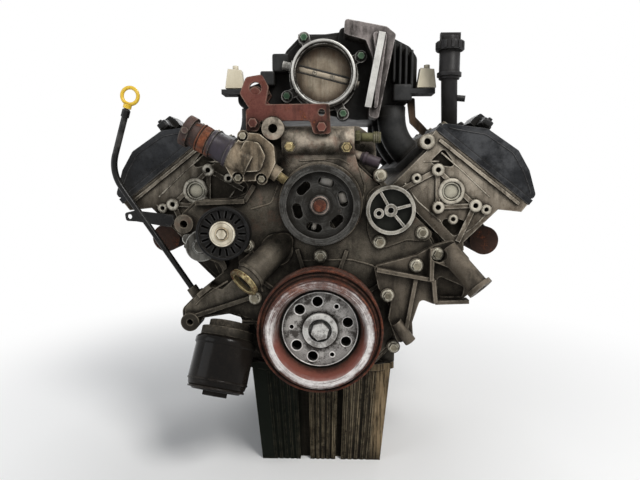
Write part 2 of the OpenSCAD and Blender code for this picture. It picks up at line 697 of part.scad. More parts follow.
washer_r = 27.5;
module crank_bolt() color("#8a8780") {
    difference() {
        post([0, 0], washer_r, hub_y - 8, hub_y);
        post([0, 0], 18, hub_y - 9, hub_y - 4);
    }
    translate([0, hub_y - 3, 0]) rotate([90, 0, 0]) rotate([0, 0, 15])
        cylinder(d = 25 / cos(30), h = 11, $fn = 6);
    post([0, 0], 8, hub_y - 1, front_y - 8);
}

// ---- Water pump ----

pump_seat_y = cover_y - 4;
pump_flange_t = 10;
shaft_r = 9;
web_f = 7;                        // pulley web behind the belt face
window_a = 15;
window_at = 35.5;
window_r = 6.5;
window_half = 5.5;
module pump_spots(r) for (a = [30:60:330]) translate([r * cos(a), 0, r * sin(a)]) children();

module pump_housing() color("#6d6a62") difference() {
    union() {
        post(pump_at, 50, pump_seat_y - pump_flange_t, pump_seat_y);
        pump_spots(50) post(pump_at, 9, pump_seat_y - pump_flange_t - 1, pump_seat_y);
        post(pump_at, 24, pump_seat_y - pump_flange_t - 6, pump_seat_y);
        for (a = [0:60:300]) rib(pump_at + 20 * [cos(a), sin(a)], pump_at + 46 * [cos(a), sin(a)], 4,
                                 pump_seat_y - pump_flange_t - 3, pump_seat_y - 1);
    }
    post(pump_at, shaft_r + run_fit, pump_seat_y - 30, pump_seat_y + 1);
    pump_spots(50) post(pump_at, 3 + slack, pump_seat_y - 30, pump_seat_y + 1);
}

module pump_bolts() color("#9c978c") pump_spots(50) {
    translate([pump_at[0], pump_seat_y - pump_flange_t - 1, pump_at[1]]) rotate([90, 0, 0])
        cylinder(d = 10 / cos(30), h = 5, $fn = 6);
    post(pump_at, 3, pump_seat_y - pump_flange_t - 2, pump_seat_y + 12);
}

module pump_rotor() color("#7b4a3a") {
    post(pump_at, shaft_r, belt_y - 15, cover_y + 14);
    post(pump_at, 26, belt_y + 6, belt_y + 10);
    post(pump_at, 30, cover_y + 14, cover_y + 17);
    for (a = [0:60:300]) rib(pump_at + 8 * [cos(a), sin(a)], pump_at + 30 * [cos(a), sin(a)], 3,
        cover_y + 3, cover_y + 15);
}

module pump_pulley() color("#1b1a19") difference() {
    r = pump_pulley_r;
    b = pulley_w;
    translate([pump_at[0], 0, pump_at[1]]) turned(belt_y + b / 2)
        polygon([[shaft_r + press, web_f], [shaft_r + press, b - 5], [15.5, b - 5], [15.5, web_f + 4],
            [r - 5.5, web_f + 4],
                 [r - 5.5, b - 7], [r - 10.5, b - 3], [r - 10.5, b], [r - 1, b], [r, b - 1], [r, b - 3],
                     [r - 1.5, b - 4],
                 [r - 1.5, 4], [r, 3], [r, 0], [r - 4, 0], [r - 4, web_f]]);
    // windows of the web, each an oval along the hub's circle
    for (a = [window_a:60:window_a + 300]) translate([pump_at[0], belt_y + b / 2, pump_at[1]])
        rotate([0, -a, 0]) {
        translate([window_at - window_r, -20, -window_half]) cube([2 * window_r, 40, 2 * window_half]);
        for (z = [-1, 1]) translate([window_at, 20, z * window_half]) rotate([90, 0, 0])
            cylinder(r = window_r, h = 40);
    }
}

// ---- Belt tensioner ----

tens_base_t = 10;
arm_y = cover_y - tens_base_t - slack;
arm_t = 10;
pivot_r = 8;
idler_w = 22;
idler_pin_r = 8.5;
idler_front = belt_y - idler_w / 2;

module tensioner_base() color("#8c8b86") {
    difference() {
        union() {
            post(tens_pivot, 25, cover_y - tens_base_t, cover_y);
            post(tens_pivot + [-24, 10], 8, cover_y - tens_base_t + 2, cover_y);
        }
        post(tens_pivot, pivot_r - 2, cover_y - 2, cover_y + 1);
    }
    post(tens_pivot, pivot_r, arm_y - arm_t + slack, cover_y - tens_base_t + 1);
    post(tens_pivot, pivot_r + 3, arm_y - arm_t + slack, arm_y - arm_t + 4);
}

module tensioner_arm() color("#77756f") {
    difference() {
        union() {
            post(tens_pivot, 24, arm_y - arm_t, arm_y);
            post(tens_at, 17, arm_y - arm_t, arm_y);
            rib(tens_pivot, tens_at, 28, arm_y - arm_t, arm_y);
        }
        post(tens_pivot, pivot_r + run_fit, arm_y - arm_t - 1, arm_y + 1);
        post(tens_pivot, pivot_r + 3.5, arm_y - arm_t - 1, arm_y - arm_t + 4.2);
    }
    post(tens_at, 13, belt_y + idler_w / 2, arm_y - 1);
    post(tens_at, idler_pin_r, idler_front - slack, arm_y - 1);
}

module tensioner_pulley() color("#161617") difference() {
    r = idler_r;
    b = idler_w;
    translate([tens_at[0], 0, tens_at[1]]) turned(belt_y + b / 2)
        polygon([[idler_pin_r + run_fit, 0], [idler_pin_r + run_fit, b], [21, b], [22, b - 3],
            [r - 5, b - 3], [r - 4, b],
                 [r - 1, b], [r, b - 1], [r, 1], [r - 1, 0]]);
    for (i = [0:17]) translate([tens_at[0], 0, tens_at[1]]) rotate([0, 20 * i, 0])
        translate([23, idler_front - 1, -1.6]) cube([r - 29, 12, 3.2]);
}

module tensioner_cap() color("#cdc3a6") {
    post(tens_at, 19.5, idler_front - slack - 3, idler_front - slack);
    post(tens_at, 16.5, idler_front - slack - 4.5, idler_front - slack);
    translate([tens_at[0], idler_front - slack - 4, tens_at[1]]) rotate([90, 0, 0])
        cylinder(d = 13 / cos(30), h = 6, $fn = 6);
}

// ---- Castings on the front cover ----

cap_r = 38;
cap_t = 14;
module spoked_cap() color("#b9b6ae") difference() {
    y = cover_y - 4;
    union() {
        post(cap_at, cap_r, y - 4, y);
        difference() {
            post(cap_at, cap_r, y - cap_t, y);
            post(cap_at, cap_r - 5.5, y - cap_t - 1, y - 3);
        }
        intersection() {
            post(cap_at, cap_r - 1, y - cap_t, y);
            union() {
                for (a = [120, 15, -50]) rib(cap_at, cap_at + cap_r * [cos(a), sin(a)], 4.5,
                    y - cap_t + 1, y - 1);
                post(cap_at + 19 * [cos(195), sin(195)], 8, y - cap_t + 1, y - 1);
                post(cap_at, 10, y - cap_t - 1, y - 1);
            }
        }
    }
    post(cap_at, 4.5, y - cap_t - 2, y - 3);
    post(cap_at + 19 * [cos(195), sin(195)], 4, y - cap_t - 2, y - 3);
}

bracket_y = cover_y - 5;
bracket_t = 10;
bracket_spots = [[106, 52], [150, 100], [182, 118]];
tube_from = [202, bracket_y - 17, 118];
tube_to = [242, bracket_y - 46, 70];
tube_dir = (tube_to - tube_from) / norm(tube_to - tube_from);
tube_r = 16;
module accessory_bracket() color("#6e685c") difference() {
    union() {
        slab(bracket_y - bracket_t, bracket_y)
            polygon(rounded([[92, 62], [84, 98], [150, 116], [178, 132], [206, 140], [232, 112],
                [240, 60], [214, 38], [178, 38],
                             [158, 46], [146, 8], [148, -16], [124, -28], [108, 14], [112, 40]], 7));
        for (p = bracket_spots) post(p, 11, bracket_y - bracket_t - 3, bracket_y);
        rib([88, 94], [176, 78], 6, bracket_y - 22, bracket_y - 2);
        rib([172, 78], [172, 128], 6, bracket_y - 26, bracket_y - 2);
        rib([172, 112], [212, 96], 6, bracket_y - 24, bracket_y - 2);
        rib([176, 78], [180, 42], 6, bracket_y - 22, bracket_y - 2);
        rib([180, 42], [232, 44], 6, bracket_y - 20, bracket_y - 2);
        rib([150, 84], [136, 0], 6, bracket_y - 18, bracket_y - 2);
        rod(tube_from - tube_dir * 10, tube_to, tube_r);
        rod(tube_to - tube_dir * 7, tube_to, tube_r + 4.5);
        rod([120, bracket_y - 12, 8], [143, bracket_y - 16, -22], 9.5);
    }
    rod(tube_to - tube_dir * 26, tube_to + tube_dir, tube_r - 7);
    for (p = bracket_spots) post(p, bolt_hole_r, bracket_y - 40, bracket_y + 1);
    for (p = bracket_spots) post(p, 11.5, bracket_y - 40, bracket_y - bracket_t - 3);
    for (a = [30, 210]) translate(tube_to)
        rod(tube_across(a) - tube_dir * 9, tube_across(a) + tube_dir, 2.2);
    slab(bracket_y - 20, bracket_y - 4) polygon(rounded([[184, 50], [224, 50], [226, 66], [184, 84]], 5));
}
tube_side = [tube_dir[2], 0, -tube_dir[0]] / norm([tube_dir[2], 0, -tube_dir[0]]);
tube_up = cross(tube_dir, tube_side);
function tube_across(a) = (tube_r + 1) * (cos(a) * tube_side + sin(a) * tube_up);

module bracket_bolts() color("#8f8a7e")
    for (p = bracket_spots) bolt(p, bracket_y - bracket_t - 3, cover_t + 5 + bracket_t + 3 + 14);

inlet_dir = (inlet_to - inlet_from) / norm(inlet_to - inlet_from);
inlet_seat = 16;                  // depth of the pipe's wider mouth
module inlet_pipe() color("#57544a") difference() {
    union() {
        rod(inlet_from - inlet_dir * 20, inlet_to, inlet_r);
        rod(inlet_to - inlet_dir * 14, inlet_to - inlet_dir * 9, inlet_r + 2);
    }
    rod(inlet_from + inlet_dir * 22, inlet_to + inlet_dir, inlet_r - 5.5);
    rod(inlet_to - inlet_dir * inlet_seat, inlet_to + inlet_dir, inlet_r - 4);
    translate([-300, pump_seat_y, 0]) cube([400, 100, 300]);
}
module inlet_ring() color("#a9823f") difference() {
    rod(inlet_to, inlet_to + inlet_dir * 7, inlet_r + 2.5);
    rod(inlet_to - inlet_dir, inlet_to + inlet_dir * 8, inlet_r - 4);
}

neck_y = cover_y - 17;
neck_from = [-137, neck_y, 272];
neck_to = [-206, neck_y, 309];
neck_dir = (neck_to - neck_from) / norm(neck_to - neck_from);
neck_r = 20;
neck_seat = 22;                   // depth of the neck's wider mouth
nipple_dir = [26, 2, -20] / norm([26, 2, -20]);
nipple_at = [-68, cover_y - 12, 242];
module thermostat_housing() color("#a08d70") difference() {
    union() {
        slab(cover_y - 26, cover_y)
            polygon(rounded([[-118, 304], [-146, 256], [-132, 230], [-80, 232], [-68, 258], [-70, 284],
                [-92, 302]], 10));
        slab(cover_y - 34, cover_y)
            polygon(rounded([[-112, 292], [-128, 262], [-118, 244], [-90, 246], [-82, 268], [-92, 288]],
                8));
        rod(neck_from - neck_dir * 34, neck_from, neck_r + 1.5);
        rod(nipple_at - nipple_dir * 18, nipple_at + nipple_dir * 4, 12);
        for (p = thermo_spots) post(p, 9, cover_y - 18, cover_y);
    }
    rod(neck_from - neck_dir * 24, neck_from + neck_dir, neck_r - 5);
    rod(neck_from, neck_from + neck_dir * 40, neck_r + 5);
    translate([-300, cover_y, 0]) cube([400, 100, 400]);
    for (p = thermo_spots) post(p, 3 + slack, cover_y - 40, cover_y + 1);
    for (p = thermo_spots) post(p, 8.5, cover_y - 40, cover_y - 18);
}
thermo_spots = [[-118, 299], [-126, 236], [-90, 234]];

module outlet_neck() color("#7a4a34") difference() {
    union() {
        rod(neck_from, neck_to, neck_r);
        rod(neck_from, neck_from + neck_dir * 6, neck_r + 2.5);
        rod(neck_from + neck_dir * 30, neck_from + neck_dir * 36, neck_r + 2);
        rod(neck_to - neck_dir * 12, neck_to, neck_r + 4);
        rod(neck_to - neck_dir * 7, neck_to - neck_dir * 7 + [0, -28, 0], 5);
    }
    rod(neck_from - neck_dir, neck_to + neck_dir, neck_r - 4.5);
    rod(neck_to - neck_dir * neck_seat, neck_to + neck_dir, neck_r - 3.5);
}

fitting_at = [-47, 283];
plug_fitting_at = [40, 282];
fitting_y = cover_y - 14;
module heater_fittings() color("#b08d4a") {
    for (p = [fitting_at, plug_fitting_at])
        translate([p[0], fitting_y, p[1]]) rotate([90, 0, 0]) cylinder(d = 14 / cos(30), h = 6, $fn = 6);
    post(fitting_at, 5.2, fitting_y - 17, fitting_y - 5);
    post(fitting_at, 6.4, fitting_y - 14, fitting_y - 11);
    post(plug_fitting_at, 4, fitting_y - 9, fitting_y - 5);
    rod(nipple_at + nipple_dir * 4, nipple_at + nipple_dir * 18, 7);
}

crossover_x = [-60, 52];
crossover_z = 292;
crossover_y = cover_y + 12;
sensor_z = 299;
module temp_sensor() color("#6b6a4e") {
    translate([crossover_x[1], crossover_y, sensor_z]) rotate([0, 90, 0]) {
        cylinder(d = 19 / cos(30), h = 10, $fn = 6);
        translate([0, 0, 9]) cylinder(r = 7, h = 22);
        translate([0, 0, 30]) cylinder(r = 8.5, h = 12);
    }
}

hose_from = [64, cover_y + 8, 268];
hose_to = [92, cover_y + 2, 258];
hose_dir = (hose_to - hose_from) / norm(hose_to - hose_from);
module hose_stub() color("#2b2228") difference() {
    union() {
        rod(hose_from, hose_to, 9);
        rod(hose_from + hose_dir * 4, hose_from + hose_dir * 9, 10.5);
    }
    rod(hose_to - hose_dir * 20, hose_to + hose_dir, 5.5);
}

lift_y = cover_y - 12;
lift_spots = [[2, 312], [-102, 318]];
ring_boss = [-72, 310];
module lifting_bracket() color("#7b4a38") difference() {
    union() {
        slab(lift_y - 6, lift_y)
            polygon(rounded([[-113, 306], [-113, 338], [-98, 346], [14, 347], [16, 302], [-10, 302],
                [-16, 322], [-92, 322], [-94, 306]], 5));
        for (p = lift_spots) translate([p[0], lift_y - 5, p[1]]) rotate([90, 0, 0])
            cylinder(d = 13 / cos(30), h = 8, $fn = 6);
        for (p = lift_spots) post(p, bolt_r, lift_y - 1, lift_y + 20);
        // upright lug
        slab(lift_y - 6, lift_y) polygon(rounded([[-108, 340], [-84, 340], [-78, 372], [-88, 390],
            [-112, 386], [-122, 362]], 6));
    }
    post(ring_boss, 17 + slack, lift_y - 10, lift_y + 1);
    post([2, 334], 5, lift_y - 10, lift_y + 1);
    post([-98, 370], 9, lift_y - 10, lift_y + 1);
}

// ---- Intake ----

plenum_right = [[163, 440], [163, 386], [150, 366], [128, plenum_low]];
plenum_left = [[-118, plenum_low], [-147, 360], [-147, 384], [-104, 400], [-76, 422], [-62, 452],
    [-40, 474], [60, 486], [118, 474], [150, 458]];
plenum_centre = [0, 415];
plenum_draw = [0.94, 0.9];
plenum_back = rear_y - 66;
runner_bend = 84;

module runner(side, i) {
    y = cyl_y(side, i);
    face = bank_pt(side, -head_in - 12, head_u + 66);
    knee = face + 6 * [-side, 1] * sin(half_v);
    axis = knee + runner_bend * [side, 1] * sin(half_v);
    rod([face[0], y, face[1]] + 2 * [side, 0, -1], [knee[0], y, knee[1]], runner_r);
    translate([axis[0], y, axis[1]]) rotate([90, side > 0 ? 180 : 45, 0])
        rotate_extrude(angle = 45) translate([runner_bend, 0]) circle(r = runner_r + 0.4);
    rod([axis[0] - side * runner_bend, y, axis[1] - 1], [axis[0] - side * runner_bend, y, plenum_z + 8],
        runner_r);
}

module on_deck() translate([0, 0, intake_rise]) children();

module intake_manifold() color("#1c1c1e") {
    for (side = [-1, 1]) {
        for (i = [0:2]) runner(side, i);
        bank(side) bank_box([-head_in - 12, -head_in], [cyl_y(side, 2) - 38, cyl_y(side, 0) + 38],
            [head_u + 32, head_u + 92]);
    }
    on_deck() difference() {
        union() {
            slab(manifold_y, plenum_back) polygon(rounded(concat(plenum_right, plenum_left), 14));
            slab(manifold_y - 6, plenum_back + 6)
                polygon(rounded(drawn_in(concat(plenum_right, plenum_left), plenum_centre, plenum_draw),
                    14));
            for (i = [0:4]) translate([-44, manifold_y + 40 + 52 * i, 470]) cube([150, 7, 20]);
            slab(manifold_y - 12, manifold_y + 4)
                polygon(rounded([[30, 488], [110, 476], [120, 462], [96, 336], [60, 334], [10, 342]], 8));
            post(throttle_at, 60, manifold_y - 12, manifold_y + 4);
            for (a = throttle_bolt_angles) post(throttle_at + 70 * [cos(a), sin(a)], 11, manifold_y - 12,
                manifold_y + 4);
            // capacitor feet
            for (x = [-170, 148]) translate([x, manifold_y - 28, 376]) cube([42, 34, 8]);
        }
        post(throttle_at, throttle_r, manifold_y - 20, manifold_y + 60);
        for (a = throttle_bolt_angles) post(throttle_at + 70 * [cos(a), sin(a)], 3 + slack,
            manifold_y - 20, manifold_y + 8);
    }
}

throttle_bolt_angles = [118, 208, 27, -62];
throttle_front = throttle_y - throttle_len;
duct_seat = 14;                   // length of the ring that the intake duct grips
plate_r = throttle_r - 0.2;
t_shaft_r = 5;
plate_y = throttle_y - throttle_len / 2;

module throttle_body() color("#8a8983") on_deck() difference() {
    union() {
        post(throttle_at, throttle_r + 6.5, throttle_front - 6, throttle_y);
        post(throttle_at, throttle_r + 7.5, throttle_front - 6 + duct_seat, throttle_y);
        post(throttle_at, throttle_r + 12, throttle_y - 12, throttle_y);
        for (a = throttle_bolt_angles) {
            post(throttle_at + 70 * [cos(a), sin(a)], 10, throttle_y - 14, throttle_y);
            rib(throttle_at + 40 * [cos(a), sin(a)], throttle_at + 70 * [cos(a), sin(a)], 16,
                throttle_y - 13, throttle_y);
        }
        translate([throttle_at[0], plate_y, throttle_at[1]]) rotate([0, -throttle_tilt, 0])
            rotate([0, 90, 0])
            cylinder(r = 11, h = 2 * throttle_r + 21, center = true);
        translate([throttle_at[0], plate_y, throttle_at[1]]) rotate([0, -throttle_tilt, 0])
            translate([-throttle_r - 24, 0, 0]) rotate([0, 90, 0]) cylinder(r = 7, h = 16);
    }
    post(throttle_at, throttle_r, throttle_front - 20, throttle_y + 1);
    post(throttle_at, throttle_r + 2.5, throttle_front - 20, throttle_front);
    for (a = throttle_bolt_angles) post(throttle_at + 70 * [cos(a), sin(a)], 3 + slack, throttle_y - 20,
        throttle_y + 1);
    translate([throttle_at[0], plate_y, throttle_at[1]]) rotate([0, -throttle_tilt, 0]) rotate([0, 90, 0])
        cylinder(r = t_shaft_r + run_fit, h = 200, center = true);
}

module throttle_bolts() color("#5d6a52") on_deck() for (a = throttle_bolt_angles) {
    p = throttle_at + 70 * [cos(a), sin(a)];
    translate([p[0], throttle_y - 14, p[1]]) rotate([90, 0, 0]) cylinder(d = 11 / cos(30), h = 7, $fn = 6);
    post(p, 3, throttle_y - 15, throttle_y + 16);
}

module at_plate() on_deck()
    translate([throttle_at[0], plate_y, throttle_at[1]]) rotate([0, -throttle_tilt, 0]) children();

plate_t = 2.2;
module throttle_plate() color("#8d7a62") at_plate() difference() {
    rotate([90, 0, 0]) cylinder(r = plate_r, h = plate_t);
    for (x = [-15, 15]) translate([x, 0, 0]) rotate([90, 0, 0]) cylinder(r = 2.3, h = 12);
}

module throttle_shaft() color("#8b877d") at_plate() {
    difference() {
        rotate([0, 90, 0]) cylinder(r = t_shaft_r, h = 2 * throttle_r + 30, center = true);
        translate([-plate_r - slack, -t_shaft_r - 1, -t_shaft_r - 1])
            cube([2 * (plate_r + slack), t_shaft_r + 1, 2 * t_shaft_r + 2]);
    }
    for (x = [-15, 15]) translate([x, 0, 0]) rotate([90, 0, 0]) {
        translate([0, 0, -1]) cylinder(r = 2, h = plate_t + 2);
        translate([0, 0, plate_t]) cylinder(r = 4, h = 2);
    }
}

module actuator_housing() color("#76737a") on_deck() {
    slab(throttle_front + 6, throttle_y)
        polygon(rounded([[38, 492], [106, 479], [121, 467], [94, 332], [78, 336], [84, 430], [72, 458],
            [36, 468]], 5));
    slab(throttle_front - 2, throttle_front + 8)
        polygon(rounded([[82, 470], [106, 466], [92, 350], [86, 348], [90, 424]], 5));
}

module actuator_clip() color("#c3c1bb") on_deck() {
    rib([98, 468], [76, 350], 11, throttle_front - 5, throttle_front - 2);
}

// Rusty valve between the lifting bracket and the plenum
egr_at = [-108, 371];
egr_arm_to = [-84, 349];
egr_back = manifold_y - 6;
egr_flange_y = egr_back - 6;
egr_front = manifold_y - 64;
egr_bolts = [egr_at + [14, 10], egr_at + [3, -15]];
module egr_valve() color("#6e4433") on_deck() {
    slab(egr_flange_y, egr_back)
        polygon(rounded([egr_at + [-15, -12], egr_at + [3, -22], egr_at + [22, 4], egr_at + [14, 19],
            egr_at + [-15, 12]], 5));
    post(egr_at, 13.5, egr_front + 10, egr_flange_y + 2);
    post(egr_at, 10, egr_front, egr_front + 12);
    rib(egr_at, egr_arm_to, 9, egr_front + 16, egr_front + 24);
    for (p = egr_bolts) post(p, 4.6, egr_flange_y - 4, egr_flange_y + 1);
}

module manifold_stay() color("#6b5444") on_deck() slab(manifold_y - 4, manifold_y)
    polygon(rounded([[146, 372], [160, 372], [162, 340], [183 + intake_rise, 318.6],
        [176 + intake_rise, 307], [152, 330]], 3));

capacitor_x = [-147, 177];
module capacitors() color("#cfc5ad") on_deck() for (x = capacitor_x) {
    slab(manifold_y - 26, manifold_y - 8) polygon([[x - 17, 386], [x + 15, 386], [x + 11, 416],
        [x - 12, 418]]);
    translate([x, manifold_y - 17, 416]) cylinder(r = 5, h = 8);
    translate([x, manifold_y - 17, 384]) cylinder(r = 5, h = 3);
}

filler_at = [207 + intake_rise, front_y + 8];
filler_z = [394 + intake_rise, 452 + intake_rise];
filler_foot = [214 + intake_rise, front_y + 28, 322 + intake_rise];
module filler_neck() color("#161617") difference() {
    union() {
        translate([filler_at[0], filler_at[1], filler_z[0]])
            cylinder(r = filler_r - 5, h = filler_z[1] - filler_z[0] - 14);
        translate([filler_at[0], filler_at[1], filler_z[0] + 4]) cylinder(r = filler_r - 2, h = 6);
        rod(filler_foot, [filler_at[0], filler_at[1] - 1, filler_z[0] + 4], 13);
        rod([filler_at[0] + 3, filler_at[1] + 9, filler_z[0] - 27],
            [filler_at[0] + 28, filler_at[1] + 4, filler_z[0] - 30], 5);
    }
    translate([filler_at[0], filler_at[1], filler_z[0] + 12]) cylinder(r = filler_r - 9, h = 80);
    rail(1) {
        slab(filler_foot[1] - 30, filler_foot[1] + 30) polygon(rounded(lid_profile(4), 7, 3));
        slab(filler_foot[1] - 30, filler_foot[1] + 30)
            polygon([[-rail_in, 0], [0, 0], [0, lid_rail], [-rail_in, lid_rail]]);
    }
}
module filler_cap() color("#111112") {
    y = filler_at[1];
    translate([filler_at[0], y, filler_z[1] - 14 + slack]) cylinder(r = filler_r, h = 14);
    translate([filler_at[0], y, filler_z[1] + slack]) cylinder(r = filler_r - 8, h = 8);
    translate([filler_at[0] - 16, y - 4, filler_z[1] + slack]) cube([32, 8, 14]);
    translate([filler_at[0], y, filler_z[1] - 30]) cylinder(r = filler_r - 9 - run_fit, h = 17);
    for (a = [0:30:330]) translate([filler_at[0], y, filler_z[1] - 12]) rotate([0, 0, a])
        translate([filler_r - 1, -2, 0]) cube([2.5, 4, 11]);
}

// ---- Oil filter ----

module at_filter() translate(filter_at) rotate([0, 0, filter_yaw]) rotate([-filter_lean, 0, 0])
    mirror([0, 0, 1]) children();

module filter_adapter() color("#5b574c") {
    difference() {
        at_filter() {
            translate([0, 0, -14]) cylinder(r = filter_r - 6, h = 14);
            translate([0, 0, -26]) cylinder(r = filter_r - 16, h = 14);
        }
        translate([-300, cover_y, -200]) cube([400, 200, 400]);
    }
}

module oil_filter() color("#131415") at_filter() {
    rotate_extrude()
        polygon([[0, 0], [filter_r - 5, 0], [filter_r - 1, 3], [filter_r, 6], [filter_r, 12],
            [filter_r - 2, 14],
                 [filter_r - 2, filter_len - 18], [filter_r - 4, filter_len - 8],
                     [filter_r - 12, filter_len], [0, filter_len]]);
    translate([0, 0, filter_len - 1]) cylinder(d = 44, h = 8, $fn = 6);
}

// ---- Exhaust ----

log_t = 112;
log_u = head_u + 54;
module exhaust_manifold(side) {
    y1 = cyl_y(side, 0) + 44;
    bank(side) {
        for (i = [0:2]) {
            translate([head_out + 2, cyl_y(side, i), log_u]) rotate([0, 90, 0])
                cylinder(r = 22, h = log_t - head_out - 2);
            bank_box([head_out + 2, head_out + 12], [cyl_y(side, i) - 40, cyl_y(side, i) + 40],
                [log_u - 24, log_u + 24]);
        }
        translate([log_t, cyl_y(side, 2) - 24, log_u]) rotate([-90, 0, 0])
            cylinder(r = 25, h = y1 - cyl_y(side, 2) + 24);
    }
    p = bank_pt(side, log_t, log_u);
    translate([p[0], y1, p[1]]) sphere(r = 25.4);
    translate([p[0], y1, p[1] - 64]) cylinder(r = 24, h = 64);
    difference() {
        translate([p[0] - 30, y1 - 44, p[1] - 76]) cube([60, 88, 12]);
        for (s = [-1, 1]) translate([p[0], y1 + 34 * s, p[1] - 80]) cylinder(r = 5, h = 20);
        translate([p[0], y1, p[1] - 80]) cylinder(r = 19, h = 30);
    }
}
module exhaust_manifolds() color("#4a3128") for (side = [-1, 1]) exhaust_manifold(side);

// ---- Dipstick ----

dip_dir = (dip_top - dip_bend) / norm(dip_top - dip_bend);
dip_run = (dip_foot - dip_bend) / norm(dip_foot - dip_bend);
function dip3(p) = [p[0], dip_y, p[1]];
dip_turn = acos(-dip_dir * dip_run);     // angle that the tube turns through at its bend
dip_bend_r = 62;
dip_tangent = dip_bend_r * tan(dip_turn / 2);
dip_mid = (dip_dir + dip_run) / norm(dip_dir + dip_run);
dip_centre = dip_bend + dip_mid * dip_bend_r / cos(dip_turn / 2);
dip_eye = [-314, 172];
dip_lug = bank_pt(-1, 60, head_u + 58);
module dipstick_tube() color("#1b1b1b") {
    difference() {
        union() {
            rod(dip3(dip_bend + (dip_tangent - 1) * dip_dir), dip3(dip_top), dip_r);
            rod(dip3(dip_top - 14 * dip_dir), dip3(dip_top - 2 * dip_dir), dip_r + 1.5);
        }
        rod(dip3(dip_bend + (dip_tangent + 2) * dip_dir), dip3(dip_top + dip_dir), dip_r - 1.2);
    }
    translate(dip3(dip_centre)) rotate([90, 0, 0])
        rotate([0, 0, atan2(-dip_mid[1], -dip_mid[0]) - dip_turn / 2])
        rotate_extrude(angle = dip_turn) translate([dip_bend_r, 0]) circle(r = dip_r + 0.15);
    rod(dip3(dip_bend + (dip_tangent - 1) * dip_run), dip3(dip_foot), dip_r - 0.2);
    // strap that holds the tube to the head, with a spare eyelet outside
    difference() {
        slab(dip_y - 2, dip_y + 2)
            polygon(rounded([dip_eye + [-8, -7], dip_eye + [9, -8], dip_lug + [-1, -11], dip_lug + [9, -4],
                             dip_lug + [7, 9], dip_eye + [6, 10], dip_eye + [-10, 6]], 4));
        post(dip_eye + [-2, 0], 4, dip_y - 3, dip_y + 3);
    }
    post(dip_lug, 8.5, dip_y - 3, head_front(-1));
}

ring_r = 13;
ring_wire = 3;
module dipstick() color("#d9a81c") {
    at = dip_top + (ring_r + 8) * dip_dir;
    translate(dip3(at)) rotate([90, 0, 0]) rotate_extrude() translate([ring_r, 0])
        circle(r = ring_wire, $fn = 24);
    rod(dip3(dip_top - 70 * dip_dir), dip3(dip_top + 9 * dip_dir), 2.2);
    rod(dip3(dip_top + slack * dip_dir), dip3(dip_top + 7 * dip_dir), 6.5);
}

engine_block();
bedplate();
main_bearings();
rear_seal_housing();
crankshaft();
oil_pan();
oil_pan_gasket();
drain_plug();
front_cover();
front_cover_bolts();
front_seal();
head_left();
head_right();
head_gaskets();
cam_plug();
valve_cover_left();
valve_cover_right();
valve_cover_bolts();
coils_left();
coils_right();
damper_hub();
damper_rubber();
damper_ring();
crank_bolt();
pump_housing();
pump_bolts();
pump_rotor();
pump_pulley();
tensioner_base();
tensioner_arm();
tensioner_pulley();
tensioner_cap();
spoked_cap();
accessory_bracket();
bracket_bolts();
inlet_pipe();
inlet_ring();
thermostat_housing();
outlet_neck();
heater_fittings();
temp_sensor();
hose_stub();
lifting_bracket();
intake_manifold();
egr_valve();
manifold_stay();
throttle_body();
throttle_bolts();
throttle_plate();
throttle_shaft();
actuator_housing();
actuator_clip();
capacitors();
filler_neck();
filler_cap();
filter_adapter();
oil_filter();
exhaust_manifolds();
dipstick_tube();
dipstick();
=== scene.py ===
"""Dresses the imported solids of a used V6 car engine.

Each sub-assembly is a class. Its fields are sizes in metres, and its methods give the CAD nodes
their cast edges and finishes and make the small pieces that go with them. Finishes are frozen
dataclasses that build one procedural material each, from shader groups that all of them share.
X runs to the right seen from the front, Y to the rear and Z up, from the crank's rear flange.

A pair of numbers in a finish is where a change begins and where it ends, in metres or in the
units of the noise that breaks it up. A Noise is its features a metre, its detail and its
roughness, a Look a colour and a roughness, and a Sheet the points and the quads of one closed
surface.
"""

from __future__ import annotations

import json
import logging
import math
from dataclasses import dataclass
from enum import Enum
from typing import ClassVar

import bmesh
import bpy
import numpy as np
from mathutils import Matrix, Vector


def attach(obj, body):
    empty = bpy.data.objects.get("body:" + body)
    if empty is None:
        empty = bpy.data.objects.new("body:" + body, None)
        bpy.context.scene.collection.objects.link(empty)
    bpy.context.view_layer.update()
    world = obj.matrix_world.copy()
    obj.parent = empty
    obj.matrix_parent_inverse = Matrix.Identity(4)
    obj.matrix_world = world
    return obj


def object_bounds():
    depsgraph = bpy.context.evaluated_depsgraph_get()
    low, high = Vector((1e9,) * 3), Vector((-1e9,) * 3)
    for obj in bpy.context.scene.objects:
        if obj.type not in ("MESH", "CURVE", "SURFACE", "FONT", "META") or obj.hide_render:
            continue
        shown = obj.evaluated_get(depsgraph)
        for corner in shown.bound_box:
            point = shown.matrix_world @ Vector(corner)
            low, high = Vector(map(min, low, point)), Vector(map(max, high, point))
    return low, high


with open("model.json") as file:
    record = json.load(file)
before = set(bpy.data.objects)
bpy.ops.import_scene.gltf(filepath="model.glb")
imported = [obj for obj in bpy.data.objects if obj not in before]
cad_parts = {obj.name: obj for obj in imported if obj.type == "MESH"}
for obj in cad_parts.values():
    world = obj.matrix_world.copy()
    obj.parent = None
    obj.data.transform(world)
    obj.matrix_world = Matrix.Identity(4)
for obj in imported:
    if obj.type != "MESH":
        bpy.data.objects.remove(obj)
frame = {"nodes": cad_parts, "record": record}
cad_low, cad_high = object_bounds()

log = logging.getLogger("engine")
Colour = tuple[float, float, float]
Point = tuple[float, float, float]
Flat = tuple[float, float]
Noise = tuple[float, float, float]
Sheet = tuple[np.ndarray, np.ndarray]
Socket = bpy.types.NodeSocket
Input = Socket | float | Colour
Look = tuple[Socket, Socket]
WHITE: Colour = (1.0, 1.0, 1.0)


